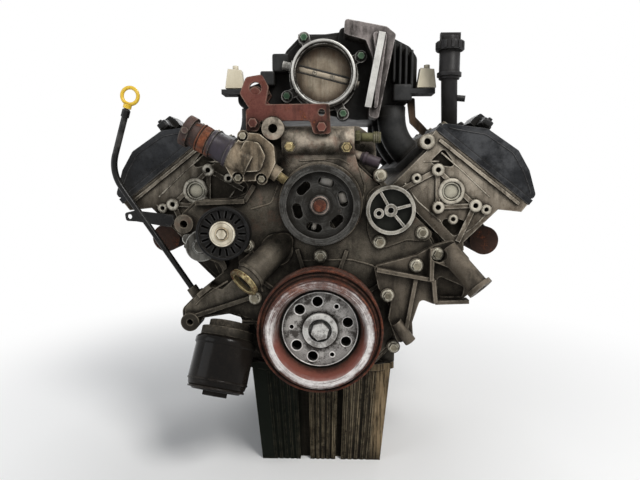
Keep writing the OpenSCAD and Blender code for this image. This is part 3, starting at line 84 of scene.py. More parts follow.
class Group(Enum):
    """The shader groups that the finishes share."""

    GRAIN = "cast_grain"
    WEAR_AND_HIGHLIGHT = "edge_wear"
    GRIME_AND_SHADE = "crevice_grime"
    RUST = "rust_bloom"
    OIL = "oil_film"
    DUST = "settled_dust"
    TURNED = "turned_marks"


class Blend(Enum):
    """What a Mix node mixes: the numbers of its two inputs and of its output."""

    FLOAT = (2, 3, 0)
    RGBA = (6, 7, 2)


class Graph:
    """A shader node tree with short calls for the nodes that the finishes use."""

    def __init__(self, tree: bpy.types.NodeTree) -> None:
        """Wraps a tree.

        Args:
            tree: the node tree to build in.
        """
        self.tree = tree

    def add(
        self, kind: str, inputs: dict[str, Input] | None = None, **settings: object
    ) -> bpy.types.Node:
        """Adds a node.

        Args:
            kind: the node's type name after "ShaderNode".
            inputs: input name to a socket to link from, or to a value.
            settings: the node's own properties.

        Returns:
            The node.
        """
        node = self.tree.nodes.new("ShaderNode" + kind)
        for key, value in settings.items():
            setattr(node, key, value)
        for key, value in (inputs or {}).items():
            self.feed(node.inputs[key], value)
        return node

    def feed(self, socket: Socket, value: Input) -> None:
        """Links a socket, or sets its value.

        Args:
            socket: the input.
            value: a socket, a number or a colour.
        """
        if isinstance(value, bpy.types.NodeSocket):
            self.tree.links.new(value, socket)
        elif isinstance(value, tuple) and len(value) == 3 and socket.type == "RGBA":
            socket.default_value = (*value, 1.0)
        else:
            socket.default_value = value

    def math(self, operation: str, a: Input, b: Input = 0.0, clamp: bool = False) -> Socket:
        """Returns the result of a Math node on a and b."""
        node = self.add("Math", operation=operation, use_clamp=clamp)
        self.feed(node.inputs[0], a)
        self.feed(node.inputs[1], b)
        return node.outputs[0]

    def times(self, *factors: Input) -> Socket:
        """Returns the product of the factors."""
        product = factors[0]
        for factor in factors[1:]:
            product = self.math("MULTIPLY", product, factor)
        return product

    def plus(self, a: Input, b: Input) -> Socket:
        """Returns a + b."""
        return self.math("ADD", a, b)

    def clamp(self, a: Input, b: Input = 0.0) -> Socket:
        """Returns a + b, held between 0 and 1."""
        return self.math("ADD", a, b, clamp=True)

    def step(self, value: Input, low: float, high: float) -> Socket:
        """Returns value mapped from low..high to 0..1, smooth at both ends; low may exceed high."""
        inputs = {"Value": value, "From Min": low, "From Max": high}
        return self.add("MapRange", inputs, interpolation_type="SMOOTHSTEP").outputs[0]

    def blend(self, kind: Blend, amount: Input, a: Input, b: Input) -> Socket:
        """Returns a turned towards b by amount, on a Mix node of that kind."""
        node = self.add("Mix", data_type=kind.name, clamp_factor=True)
        first, second, out = kind.value
        for place, value in zip((0, first, second), (amount, a, b)):
            self.feed(node.inputs[place], value)
        return node.outputs[out]

    def mix(self, amount: Input, a: Input, b: Input) -> Socket:
        """Returns the colour a turned towards b by amount."""
        return self.blend(Blend.RGBA, amount, a, b)

    def mix_value(self, amount: Input, a: Input, b: Input) -> Socket:
        """Returns the number a turned towards b by amount."""
        return self.blend(Blend.FLOAT, amount, a, b)

    def over(self, mask: Input, under: Look, tone: Input, rough: Input) -> Look:
        """Returns a look turned towards a layer's own tone and roughness where its mask lies."""
        return self.mix(mask, under[0], tone), self.mix_value(mask, under[1], rough)

    def noise(self, vector: Input, scale: Input, detail: float, rough: float) -> Socket:
        """Returns the value of a noise texture of that many features a metre."""
        inputs = {"Vector": vector, "Scale": scale, "Detail": detail, "Roughness": rough}
        return self.add("TexNoise", inputs).outputs["Fac"]

    def place(
        self, vector: Input, at: Point = (0.0, 0.0, 0.0), scale: Point = (1.0, 1.0, 1.0)
    ) -> Socket:
        """Returns the vector measured from a point and then stretched."""
        for operation, other in (("SUBTRACT", at), ("MULTIPLY", scale)):
            node = self.add("VectorMath", operation=operation)
            self.feed(node.inputs[0], vector)
            self.feed(node.inputs[1], other)
            vector = node.outputs[0]
        return vector

    def drawn(self, vector: Input, share: float) -> Socket:
        """Returns the vector with its Z shortened, which draws a noise out upwards."""
        return self.place(vector, scale=(1.0, 1.0, share))

    def axes(self, vector: Input) -> tuple[Socket, Socket, Socket]:
        """Returns the three parts of a vector."""
        node = self.add("SeparateXYZ", {"Vector": vector})
        return node.outputs[0], node.outputs[1], node.outputs[2]

    def radius(self, vector: Input) -> Socket:
        """Returns the distance from the Y axis."""
        x, _, z = self.axes(vector)
        return self.math("SQRT", self.plus(self.times(x, x), self.times(z, z)))

    def wander(self, vector: Input, noise: Noise, width: float) -> Socket:
        """Returns a noise that runs either side of nothing, at most half the width each way."""
        return self.times(self.math("SUBTRACT", self.noise(vector, *noise), 0.5), width)

    def ragged(self, value: Input, vector: Input, noise: Noise, width: float) -> Socket:
        """Returns the value with a noise added that runs from nothing to the width."""
        return self.plus(value, self.times(self.noise(vector, *noise), width))

    def spread(
        self, level: Input, amount: Input, bare: float, reach: float, sharp: float
    ) -> Socket:
        """Returns where the level stands above bare less reach times the amount."""
        edge = self.math("SUBTRACT", bare, self.times(amount, reach))
        return self.clamp(self.times(self.math("SUBTRACT", level, edge), sharp), 0.5)

    def shared(self, group: Group, **inputs: Input) -> bpy.types.Node:
        """Places one of the shared groups.

        Args:
            group: which group.
            inputs: values for its named inputs.

        Returns:
            The group node.
        """
        node = self.add("Group")
        node.node_tree = shared_tree(group)
        for key, value in inputs.items():
            self.feed(node.inputs[key], value)
        return node

    def mask(self, group: Group, **inputs: Input) -> Socket:
        """Returns the mask of one of the shared groups, placed with these inputs."""
        return self.shared(group, **inputs).outputs["Mask"]


RAYS = 6
BEVEL_RAYS = 4
LAYER_ROUGH = {Group.OIL: 0.44, Group.RUST: 0.85, Group.GRIME_AND_SHADE: 0.80, Group.DUST: 0.90}
ROUGH_SPREAD = 0.08
OIL_COVER = 0.88
RUST_SWELL = 0.0012
RUBBED_ROUGH = 0.75
DIRTY_METAL = 0.2
RUST_TONES = (
    (0.36, (0.018, 0.010, 0.008)),
    (0.47, (0.060, 0.022, 0.015)),
    (0.56, (0.135, 0.042, 0.024)),
    (0.68, (0.260, 0.092, 0.042)),
)


def begin_group(
    group: Group, inputs: dict[str, float | None], outputs: dict[str, str]
) -> tuple[Graph, dict[str, Socket], bpy.types.Node]:
    """Starts a shared group.

    Args:
        group: which group.
        inputs: input name to its default; None makes a vector input.
        outputs: output name to its socket kind, "Float" or "Color".

    Returns:
        The graph, its inputs by name, and its output node.
    """
    tree = bpy.data.node_groups.new(group.value, "ShaderNodeTree")
    for name, default in inputs.items():
        kind = "NodeSocketVector" if default is None else "NodeSocketFloat"
        socket = tree.interface.new_socket(name, in_out="INPUT", socket_type=kind)
        if default is not None:
            socket.default_value = default
    for name, kind in outputs.items():
        tree.interface.new_socket(name, in_out="OUTPUT", socket_type="NodeSocket" + kind)
    source = tree.nodes.new("NodeGroupInput")
    sink = tree.nodes.new("NodeGroupOutput")
    return Graph(tree), {name: source.outputs[name] for name in inputs}, sink


def grain_group() -> None:
    """Sand cast skin: fine grains and soft lumps for the height, and a cloudy tone."""
    g, i, out = begin_group(
        Group.GRAIN, {"Vector": None, "Scale": 500.0}, {"Tone": "Float", "Height": "Float"}
    )
    lump_scale, cloud_scale, fine_share, tone_at = 0.16, 0.05, 0.3, (0.36, 0.64)
    fine_height, lump_height = 0.55, 0.9
    fine = g.noise(i["Vector"], i["Scale"], 3.0, 0.6)
    lumps = g.noise(i["Vector"], g.times(i["Scale"], lump_scale), 3.0, 0.55)
    g.feed(out.inputs["Height"], g.plus(g.times(fine, fine_height), g.times(lumps, lump_height)))
    cloud = g.noise(i["Vector"], g.times(i["Scale"], cloud_scale), 6.0, 0.65)
    g.feed(out.inputs["Tone"], g.step(g.mix_value(fine_share, cloud, fine), *tone_at))


def wear_and_highlight_group() -> None:
    """Rubbed corners, lightened also as painted highlight: short rays into the solid leave it near
    one; noise breaks the line.
    """
    g, i, out = begin_group(
        Group.WEAR_AND_HIGHLIGHT, {"Vector": None, "Width": 0.002, "Amount": 0.5}, {"Mask": "Float"}
    )
    blots, blots_at, corner_at = (72.0, 6.0, 0.74), (0.38, 0.60), (0.97, 0.55)
    distance = {"Distance": i["Width"]}
    rays = g.add("AmbientOcclusion", distance, inside=True, only_local=True, samples=RAYS)
    corner = g.step(rays.outputs["AO"], *corner_at)
    broken = g.step(g.noise(i["Vector"], *blots), *blots_at)
    g.feed(out.inputs["Mask"], g.clamp(g.times(corner, broken, i["Amount"])))


def grime_and_shade_group() -> None:
    """Dirt and painted shade where other surfaces stand close, thick in corners and thin further
    out.
    """
    g, i, out = begin_group(
        Group.GRIME_AND_SHADE, {"Vector": None, "Reach": 0.015, "Amount": 0.6}, {"Mask": "Float"}
    )
    far_reach, far_share, near_at, far_at = 4.0, 0.9, (1.0, 0.55), (0.97, 0.42)
    patches, least, rise = (60.0, 5.0, 0.65), 0.5, 1.2
    near, far = (
        g.add("AmbientOcclusion", {"Distance": reach}, samples=RAYS).outputs["AO"]
        for reach in (i["Reach"], g.times(i["Reach"], far_reach))
    )
    closed = g.math("MAXIMUM", g.step(near, *near_at), g.times(g.step(far, *far_at), far_share))
    patchy = g.ragged(least, i["Vector"], patches, rise)
    g.feed(out.inputs["Mask"], g.clamp(g.times(closed, patchy, i["Amount"])))


def rust_group() -> None:
    """Rust: dark brown, red brown and orange by height, in blooms that spread with the amount."""
    g, i, out = begin_group(
        Group.RUST,
        {"Vector": None, "Amount": 0.5, "Scale": 60.0},
        {"Colour": "Color", "Mask": "Float", "Height": "Float"},
    )
    fine_scale, fine_share, bare, reach, sharp = 9.0, 0.35, 0.82, 0.62, 12.0
    bloom = g.noise(i["Vector"], i["Scale"], 7.0, 0.72)
    fine = g.noise(i["Vector"], g.times(i["Scale"], fine_scale), 4.0, 0.7)
    level = g.mix_value(fine_share, bloom, fine)
    ramp = g.add("ValToRGB", {"Fac": level})
    elements = ramp.color_ramp.elements
    while len(elements) < len(RUST_TONES):
        elements.new(0.5)
    for element, (at, colour) in zip(elements, RUST_TONES):
        element.position = at
        element.color = (*colour, 1.0)
    g.feed(out.inputs["Colour"], ramp.outputs["Color"])
    g.feed(out.inputs["Mask"], g.spread(level, i["Amount"], bare, reach, sharp))
    g.feed(out.inputs["Height"], level)


def oil_group() -> None:
    """Oil and road film: blotches drawn out downwards."""
    g, i, out = begin_group(Group.OIL, {"Vector": None, "Amount": 0.5}, {"Mask": "Float"})
    run_share, bare, reach, sharp = 0.28, 0.72, 0.42, 7.0
    blots = g.noise(g.drawn(i["Vector"], 0.5), 20.0, 7.0, 0.66)
    runs = g.noise(g.drawn(i["Vector"], 0.12), 120.0, 3.0, 0.5)
    level = g.mix_value(run_share, blots, runs)
    g.feed(out.inputs["Mask"], g.spread(level, i["Amount"], bare, reach, sharp))


def dust_group() -> None:
    """Pale dust on what faces up, thinned by noise."""
    g, i, out = begin_group(Group.DUST, {"Vector": None, "Amount": 0.4}, {"Mask": "Float"})
    _, _, up = g.axes(g.add("NewGeometry").outputs["Normal"])
    up_at, specks_at, clouds_at, upright_share = (0.0, 0.95), (0.38, 0.72), (0.3, 0.7), 0.15
    lying = g.step(up, *up_at)
    specks = g.step(g.noise(i["Vector"], 180.0, 6.0, 0.75), *specks_at)
    clouds = g.step(g.noise(i["Vector"], 25.0, 4.0, 0.6), *clouds_at)
    fall = g.plus(g.times(lying, 1 - upright_share), upright_share)
    g.feed(out.inputs["Mask"], g.clamp(g.times(fall, specks, clouds, i["Amount"])))


def turned_group() -> None:
    """Fine rings round the Y axis, as a lathe leaves them."""
    g, i, out = begin_group(Group.TURNED, {"Vector": None, "Scale": 900.0}, {"Tone": "Float"})
    slant = 0.02
    ring = g.add("CombineXYZ", {"X": g.radius(i["Vector"])})
    x, _, z = g.axes(i["Vector"])
    g.feed(ring.inputs["Y"], g.times(g.plus(x, z), slant))
    g.feed(out.inputs["Tone"], g.noise(ring.outputs[0], i["Scale"], 3.0, 0.7))


GROUP_MAKERS = {
    Group.GRAIN: grain_group,
    Group.WEAR_AND_HIGHLIGHT: wear_and_highlight_group,
    Group.GRIME_AND_SHADE: grime_and_shade_group,
    Group.RUST: rust_group,
    Group.OIL: oil_group,
    Group.DUST: dust_group,
    Group.TURNED: turned_group,
}


def shared_tree(group: Group) -> bpy.types.NodeTree:
    """Returns the tree of a shared group, made on its first use."""
    if group.value not in bpy.data.node_groups:
        GROUP_MAKERS[group]()
    return bpy.data.node_groups[group.value]


@dataclass(frozen=True)
class Finish:
    """One surface finish of the engine.

    base and patch are its two clean tones; the crevice tone, oil, the worn tone and dust are what
    lies or rubs on it, the crevice tone being also painted shade and the worn tone also painted
    highlight.
    The amounts run from 0, none, to 1, all over. round is the radius that its corners shade with.
    """

    name: str
    base: Colour
    patch: Colour
    metallic: float = 0.0
    roughness: float = 0.6
    gloss: float = 0.10
    grain_scale: float = 500.0
    grain_height: float = 0.0004
    # the crevice tone is dirt and also painted shade in corners and recesses
    grime_and_shade: Colour = (0.0085, 0.0072, 0.0055)
    grime_and_shade_amount: float = 0.9
    grime_and_shade_reach: float = 0.012
    # the worn tone is rubbed metal and also painted highlight on edges
    worn_and_highlight: Colour = (0.30, 0.27, 0.22)
    wear_and_highlight_amount: float = 0.5
    wear_and_highlight_width: float = 0.0022
    rust_amount: float = 0.0
    rust_scale: float = 60.0
    oil: Colour = (0.0105, 0.0088, 0.0066)
    oil_amount: float = 0.35
    dust: Colour = (0.26, 0.22, 0.165)
    dust_amount: float = 0.35
    round: float = 0.0012

    def tint(self, g: Graph, at: Socket, colour: Socket, rough: Socket) -> Look:
        """Returns the colour and roughness after what this finish alone has; plain here."""
        return colour, rough

    def cover(self, g: Graph, at: Socket, colour: Socket, rough: Socket) -> Look:
        """Returns the colour and roughness after what lies over everything else; plain here."""
        return colour, rough

    def oil_here(self, g: Graph, at: Socket) -> Input:
        """Returns how much oil lies at a place; even here."""
        return self.oil_amount

    def rust_here(self, g: Graph, at: Socket) -> Input:
        """Returns how much rust lies at a place; even here."""
        return self.rust_amount

    def build(self) -> bpy.types.Material:
        """Builds the finish's material, or returns it if it is there already."""
        title = self.name + " finish"
        if title in bpy.data.materials:
            return bpy.data.materials[title]
        material = bpy.data.materials.new(title)
        material.use_nodes = True
        material.diffuse_color = (*self.base, 1.0)
        g = Graph(material.node_tree)
        shader = material.node_tree.nodes["Principled BSDF"]
        shader.inputs["Specular IOR Level"].default_value = self.gloss
        at = g.add("TexCoord").outputs["Object"]
        grain = g.shared(Group.GRAIN, Vector=at, Scale=self.grain_scale)
        colour = g.mix(grain.outputs["Tone"], self.base, self.patch)
        smooth, rough = self.roughness - ROUGH_SPREAD, self.roughness + ROUGH_SPREAD
        rough = g.mix_value(grain.outputs["Tone"], smooth, rough)
        metal: Input = self.metallic
        height = g.times(grain.outputs["Height"], self.grain_height)
        colour, rough = self.tint(g, at, colour, rough)
        if self.oil_amount > 0:
            film = g.mask(Group.OIL, Vector=at, Amount=self.oil_here(g, at))
            colour = g.mix(g.times(film, OIL_COVER), colour, self.oil)
            rough = g.mix_value(film, rough, LAYER_ROUGH[Group.OIL])
        rust = None
        if self.rust_amount > 0:
            amount = self.rust_here(g, at)
            bloom = g.shared(Group.RUST, Vector=at, Amount=amount, Scale=self.rust_scale)
            rust = bloom.outputs["Mask"]
            orange = bloom.outputs["Colour"]
            colour, rough = g.over(rust, (colour, rough), orange, LAYER_ROUGH[Group.RUST])
            height = g.plus(height, g.times(rust, bloom.outputs["Height"], RUST_SWELL))
        # painted shade: the crevice mask darkens corners and recesses as well as laying dirt there
        grime_and_shade = g.mask(Group.GRIME_AND_SHADE, Vector=at, Reach=self.grime_and_shade_reach, Amount=self.grime_and_shade_amount)
        colour, rough = g.over(grime_and_shade, (colour, rough), self.grime_and_shade, LAYER_ROUGH[Group.GRIME_AND_SHADE])
        if self.dust_amount > 0:
            fall = g.mask(Group.DUST, Vector=at, Amount=self.dust_amount)
            colour, rough = g.over(fall, (colour, rough), self.dust, LAYER_ROUGH[Group.DUST])
        # painted highlight: the worn tone brightens convex edges as well as showing rubbed metal
        if self.wear_and_highlight_amount > 0:
            wear_and_highlight = g.mask(Group.WEAR_AND_HIGHLIGHT, Vector=at, Width=self.wear_and_highlight_width, Amount=self.wear_and_highlight_amount)
            rubbed = self.roughness * RUBBED_ROUGH
            colour, rough = g.over(wear_and_highlight, (colour, rough), self.worn_and_highlight, rubbed)
        colour, rough = self.cover(g, at, colour, rough)
        if self.metallic > 0:
            metal = g.mix_value(grime_and_shade, self.metallic, self.metallic * DIRTY_METAL)
            if rust is not None:
                metal = g.mix_value(rust, metal, 0.0)
        corner = g.add("Bevel", {"Radius": self.round}, samples=BEVEL_RAYS)
        inputs = {"Height": height, "Distance": 1.0, "Normal": corner.outputs["Normal"]}
        bump = g.add("Bump", inputs)
        g.feed(shader.inputs["Base Color"], colour)
        g.feed(shader.inputs["Roughness"], rough)
        g.feed(shader.inputs["Metallic"], metal)
        g.feed(shader.inputs["Normal"], bump.outputs["Normal"])
        return material


@dataclass(frozen=True)
class CoverFinish(Finish):
    """Cast alloy of the front cover: sooty and oily on the left and low down, rusty on top, its top
    painted paler as painted highlight, and a painted shadow above the filter.
    """

    soot: Colour = (0.034, 0.033, 0.026)
    soot_noise: Flat = (0.50, 0.36)
    soot_share: float = 0.55
    cloud: Noise = (40.0, 6.0, 0.7)
    blots: Noise = (78.0, 6.0, 0.72)
    # painted highlight: a pale tan laid over the top of the cover
    crown_highlight: Colour = (0.440, 0.380, 0.305)
    crown_highlight_z: Flat = (0.245, 0.275)
    crown_highlight_noise: Flat = (0.34, 0.60)
    crown_highlight_share: float = 0.85
    wash: Colour = (0.205, 0.105, 0.074)
    wash_z: Flat = (0.165, 0.255)
    patches: Noise = (33.0, 5.0, 0.7)
    wash_noise: Flat = (0.50, 0.68)
    wash_share: float = 0.55
    left_x: Flat = (0.13, -0.06)
    left_oil_and_shade: float = 0.14
    low_z: Flat = (0.24, 0.0)
    shore: Noise = (14.0, 3.0, 0.55)
    low_oil: float = 0.04
    # painted shadow: extra dark film above the filter, under the bracket's arch
    filter_x: Flat = (-0.085, -0.115)
    filter_z: Flat = (0.030, -0.005)
    filter_shadow: float = 0.7

    def tint(self, g: Graph, at: Socket, colour: Socket, rough: Socket) -> Look:
        """Returns the sooty blotches, the paler top, which is painted highlight, and the rusty wash
        over the upper half.
        """
        _, _, z = g.axes(at)
        cloud = g.noise(at, *self.cloud)
        blotch = g.step(g.noise(at, *self.blots), *self.soot_noise)
        colour = g.mix(g.times(blotch, self.soot_share), colour, self.soot)
        # painted highlight: the top of the cover is turned pale tan
        high = g.step(g.plus(z, g.times(cloud, 0.03)), *self.crown_highlight_z)
        crown_highlight = g.times(high, g.step(cloud, *self.crown_highlight_noise), self.crown_highlight_share)
        colour = g.mix(crown_highlight, colour, self.crown_highlight)
        upper = g.step(g.plus(z, g.times(cloud, 0.10)), *self.wash_z)
        patches = g.step(g.noise(at, *self.patches), *self.wash_noise)
        return g.mix(g.times(upper, patches, self.wash_share), colour, self.wash), rough

    def oil_here(self, g: Graph, at: Socket) -> Input:
        """Returns more oil on the left and below, and the most film above the filter, which is
        painted shadow under the bracket's arch.
        """
        x, _, z = g.axes(at)
        left = g.step(g.ragged(x, at, self.shore, 0.10), *self.left_x)
        # painted shadow above the filter
        filter_shadow_mask = g.times(g.step(x, *self.filter_x), g.step(z, *self.filter_z))
        sides = g.plus(g.times(left, self.left_oil_and_shade), g.times(g.step(z, *self.low_z), self.low_oil))
        return g.plus(g.plus(self.oil_amount, g.times(filter_shadow_mask, self.filter_shadow)), sides)


@dataclass(frozen=True)
class LipFinish(Finish):
    """Rusty ring of the damper, scratched bright round its mouth and lighter low on the lip as
    painted highlight, and red low down in its recess.

    The scratch, dull and bright amounts and the red cloud are each a least amount and what is added
    to it; the first three add theirs low down, where it is painted highlight.
    """

    face_y: float = -0.5380
    face_fade: Flat = (0.007, 0.001)
    rust_fade: Flat = (0.004, 0.012)
    lip_rust: float = 0.50
    floor_y: float = -0.508
    wall_y: float = -0.532
    mouth_r: float = 0.0722
    wall_r: float = 0.0735
    # painted highlight: low_z and the spread below set where the lip is lightest
    lip_r: Flat = (0.0862, 0.0792)
    low_z: Flat = (0.050, -0.045)
    highlight_spread: float = -0.45
    fine_marks: float = 1500.0
    broad_marks: float = 330.0
    shore: Noise = (30.0, 6.0, 0.72)
    cloud: Noise = (52.0, 7.0, 0.76)
    shares: Point = (0.34, 0.36, 0.30)
    keen_noise: Flat = (0.505, 0.625)
    keen_and_highlight_low: Flat = (0.022, 0.085)
    dull_low: Flat = (0.42, 0.38)
    bright_low: Flat = (0.62, 0.30)
    keen_rough: float = 0.32
    bright: Colour = (0.80, 0.77, 0.75)
    dull: Colour = (0.165, 0.120, 0.110)
    groove_r: float = 0.0838
    groove_width: Flat = (0.0011, 0.0004)
    groove_share: float = 0.75
    groove: Colour = (0.030, 0.018, 0.016)
    red_z: Flat = (0.012, -0.022)
    red: Colour = (0.235, 0.082, 0.062)
    red_cloud: Flat = (0.35, 1.1)
    grey_z: Flat = (-0.024, 0.012)
    grey_noise: Flat = (0.46, 0.56)
    grey: Colour = (0.42, 0.38, 0.36)
    grey_share: float = 0.62

    def rust_here(self, g: Graph, at: Socket) -> Input:
        """Returns heavy rust on the rim, and less near the lip."""
        _, y, _ = g.axes(at)
        behind = g.step(y, *(self.face_y + deep for deep in self.rust_fade))
        return g.mix_value(behind, self.lip_rust, self.rust_amount)

    def cover(self, g: Graph, at: Socket, colour: Socket, rough: Socket) -> Look:
        """Returns the lip and the recess's wall: dull, with bright scratches, most of them low,
        where the lip is lightened as painted highlight.
        """
        x, y, z = g.axes(at)
        r = g.radius(at)
        wander = g.wander(at, self.shore, 0.020)
        cloud = g.noise(at, *self.cloud)
        fine, broad = (
            g.shared(Group.TURNED, Vector=at, Scale=scale).outputs["Tone"]
            for scale in (self.fine_marks, self.broad_marks)
        )
        marks = [g.times(mark, share) for mark, share in zip((fine, broad, cloud), self.shares)]
        scratch = g.plus(g.plus(marks[0], marks[1]), marks[2])
        # painted highlight: the lip is lightened low down and to the sides
        aside = g.plus(z, g.times(g.math("ABSOLUTE", x), self.highlight_spread))
        low = g.step(g.plus(aside, g.times(wander, 3.0)), *self.low_z)

        near = g.plus(y, g.times(wander, 0.4))
        front = g.step(near, *(self.face_y + deep for deep in self.face_fade))
        face = g.times(front, g.step(g.plus(r, wander), *self.lip_r))
        more, dull, bright = (
            g.plus(g.times(low, rise), least)
            for least, rise in (self.keen_and_highlight_low, self.dull_low, self.bright_low)
        )
        keen = g.step(g.plus(scratch, more), *self.keen_noise)
        colour = g.mix(g.times(face, dull), colour, self.dull)
        colour = g.mix(g.times(face, keen, bright), colour, self.bright)
        off_groove = g.math("ABSOLUTE", g.math("SUBTRACT", r, self.groove_r))
        groove = g.times(front, g.step(off_groove, *self.groove_width), self.groove_share)
        colour = g.mix(groove, colour, self.groove)

        inner = g.step(g.plus(y, wander), self.floor_y, self.wall_y)
        wall = g.times(inner, g.step(r, self.wall_r, self.mouth_r))
        least, rise = self.red_cloud
        red = g.times(wall, g.step(z, *self.red_z), g.plus(least, g.times(cloud, rise)))
        colour = g.mix(g.clamp(red), colour, self.red)
        grey = g.times(wall, g.step(z, *self.grey_z), g.step(scratch, *self.grey_noise))
        colour = g.mix(g.times(grey, self.grey_share), colour, self.grey)
        return colour, g.mix_value(g.times(face, keen), rough, self.keen_rough)


@dataclass(frozen=True)
class FaceFinish(Finish):
    """A turned iron face, stained in rings, darker with grease towards its middle."""

    centre_x: float = 0.0
    centre_z: float = 0.0
    grease_r: Flat = (0.060, 0.024)
    marks: float = 1100.0
    stain: Colour = (0.038, 0.032, 0.028)
    stain_noise: Flat = (0.45, 0.58)
    stain_share: float = 0.92
    ring_tone: Flat = (0.3, 0.7)
    ring_share: float = 0.5
    swirl: Noise = (46.0, 8.0, 0.74)
    grease_share: float = 0.45
    stain_rough: float = 0.5

    def tint(self, g: Graph, at: Socket, colour: Socket, rough: Socket) -> Look:
        """Returns the rings and the stains of the face."""
        here = g.place(at, (self.centre_x, 0.0, self.centre_z))
        rings = g.shared(Group.TURNED, Vector=here, Scale=self.marks).outputs["Tone"]
        bright = g.times(g.step(rings, *self.ring_tone), self.ring_share)
        colour = g.mix(bright, colour, self.worn_and_highlight)
        swirl = g.noise(here, *self.swirl)
        grease = g.step(g.plus(g.radius(here), g.times(swirl, 0.03)), *self.grease_r)
        blots = g.step(swirl, *self.stain_noise)
        stain = g.clamp(blots, g.times(grease, self.grease_share))
        colour = g.mix(g.times(stain, self.stain_share), colour, self.stain)
        return colour, g.mix_value(stain, rough, self.stain_rough)


@dataclass(frozen=True)
class PanFinish(Finish):
    """The sump: its front green black, brown and tan from left to right; dark behind."""

    front_y: Flat = (-0.365, -0.410)
    tones: tuple[Colour, ...] = (
        (0.0070, 0.0090, 0.0062), (0.050, 0.040, 0.024),
        (0.066, 0.053, 0.035), (0.235, 0.170, 0.098),
    )
    borders: tuple[Flat, ...] = ((-0.045, -0.02), (0.028, 0.050), (0.080, 0.104))
    shore: Noise = (30.0, 3.0, 0.55)
    streaks: Noise = (230.0, 5.0, 0.62)
    streak_draw: float = 0.014
    fine: Noise = (640.0, 2.0, 0.6)
    fine_draw: float = 0.010
    fine_share: float = 0.4
    dark: Colour = (0.006, 0.0055, 0.0042)
    dark_noise: Flat = (0.49, 0.56)
    dark_share: float = 0.88
    dark_rough: float = 0.45
    pale: Colour = (0.27, 0.215, 0.135)
    pale_noise: Flat = (0.45, 0.36)
    pale_x: Flat = (-0.05, 0.0)
    pale_share: float = 0.75
    black: Colour = (0.0060, 0.0080, 0.0055)
    black_x: Flat = (-0.030, -0.045)
    black_share: float = 0.80

    def tint(self, g: Graph, at: Socket, colour: Socket, rough: Socket) -> Look:
        """Returns the tones and the flutes' upright streaks, which fade out behind the front."""
        x, y, _ = g.axes(at)
        wide = g.plus(x, g.wander(at, self.shore, 0.016))
        tone = self.tones[0]
        for border, beyond in zip(self.borders, self.tones[1:]):
            tone = g.mix(g.step(wide, *border), tone, beyond)
        streaks = g.noise(g.drawn(at, self.streak_draw), *self.streaks)
        fine = g.noise(g.drawn(at, self.fine_draw), *self.fine)
        level = g.mix_value(self.fine_share, streaks, fine)
        dark = g.step(level, *self.dark_noise)
        tone = g.mix(g.times(dark, self.dark_share), tone, self.dark)
        pale = g.times(g.step(level, *self.pale_noise), g.step(wide, *self.pale_x))
        tone = g.mix(g.times(pale, self.pale_share), tone, self.pale)
        front = g.step(y, *self.front_y)
        wet = g.times(dark, front)
        return g.mix(front, colour, tone), g.mix_value(wet, rough, self.dark_rough)

    def cover(self, g: Graph, at: Socket, colour: Socket, rough: Socket) -> Look:
        """Returns the left column blackened over its worn ridges too."""
        x, _, _ = g.axes(at)
        left = g.times(g.step(x, *self.black_x), self.black_share)
        return g.mix(left, colour, self.black), rough


@dataclass(frozen=True)
class HeadFinish(Finish):
    """Cast alloy of the heads: tan grey on the right, darker and oilier on the left, which is
    painted shade.
    """

    # painted shade: the left head is darker in tone and film
    left_x: Flat = (0.02, -0.05)
    dark: Colour = (0.085, 0.080, 0.064)
    dark_share: float = 0.26
    left_oil_and_shade: float = 0.07
    cloud: Noise = (44.0, 6.0, 0.72)
    stain: Colour = (0.078, 0.058, 0.041)
    stain_noise: Flat = (0.50, 0.66)
    spot_share: float = 0.55
    stain_z: Flat = (0.260, 0.210)
    low_share: float = 0.5

    def tint(self, g: Graph, at: Socket, colour: Socket, rough: Socket) -> Look:
        """Returns the brown stains, most of them low down, and the left head's darker tone, which
        is painted shade.
        """
        x, _, z = g.axes(at)
        cloud = g.noise(at, *self.cloud)
        low = g.step(g.plus(z, g.times(cloud, 0.06)), *self.stain_z)
        spots = g.times(g.step(cloud, *self.stain_noise), self.spot_share)
        stain = g.clamp(spots, g.times(low, self.low_share))
        colour = g.mix(stain, colour, self.stain)
        return g.mix(g.times(g.step(x, *self.left_x), self.dark_share), colour, self.dark), rough

    def oil_here(self, g: Graph, at: Socket) -> Input:
        """Returns more oil film on the left head, as painted shade."""
        x, _, _ = g.axes(at)
        return g.plus(self.oil_amount, g.times(g.step(x, *self.left_x), self.left_oil_and_shade))


@dataclass(frozen=True)
class PlateFinish(Finish):
    """The throttle plate and bore: a tan film, thicker round the edge."""

    centre: Point = (0.003, 0.0, 0.405)
    edge_r: Flat = (0.026, 0.046)
    edge_share: float = 0.75
    shore: Noise = (38.0, 6.0, 0.65)
    runs: Noise = (160.0, 4.0, 0.6)
    run_draw: float = 0.15
    run_noise: Flat = (0.4, 0.65)
    run_share: float = 0.4
    film: Colour = (0.20, 0.150, 0.105)
    film_share: float = 0.9
    film_rough: float = 0.5

    def tint(self, g: Graph, at: Socket, colour: Socket, rough: Socket) -> Look:
        """Returns the film over the plate, with runs down it."""
        reach = g.plus(g.radius(g.place(at, self.centre)), g.wander(at, self.shore, 0.02))
        edge = g.times(g.step(reach, *self.edge_r), self.edge_share)
        runs = g.step(g.noise(g.drawn(at, self.run_draw), *self.runs), *self.run_noise)
        film = g.clamp(edge, g.times(runs, self.run_share))
        colour = g.mix(g.times(film, self.film_share), colour, self.film)
        return colour, g.mix_value(film, rough, self.film_rough)


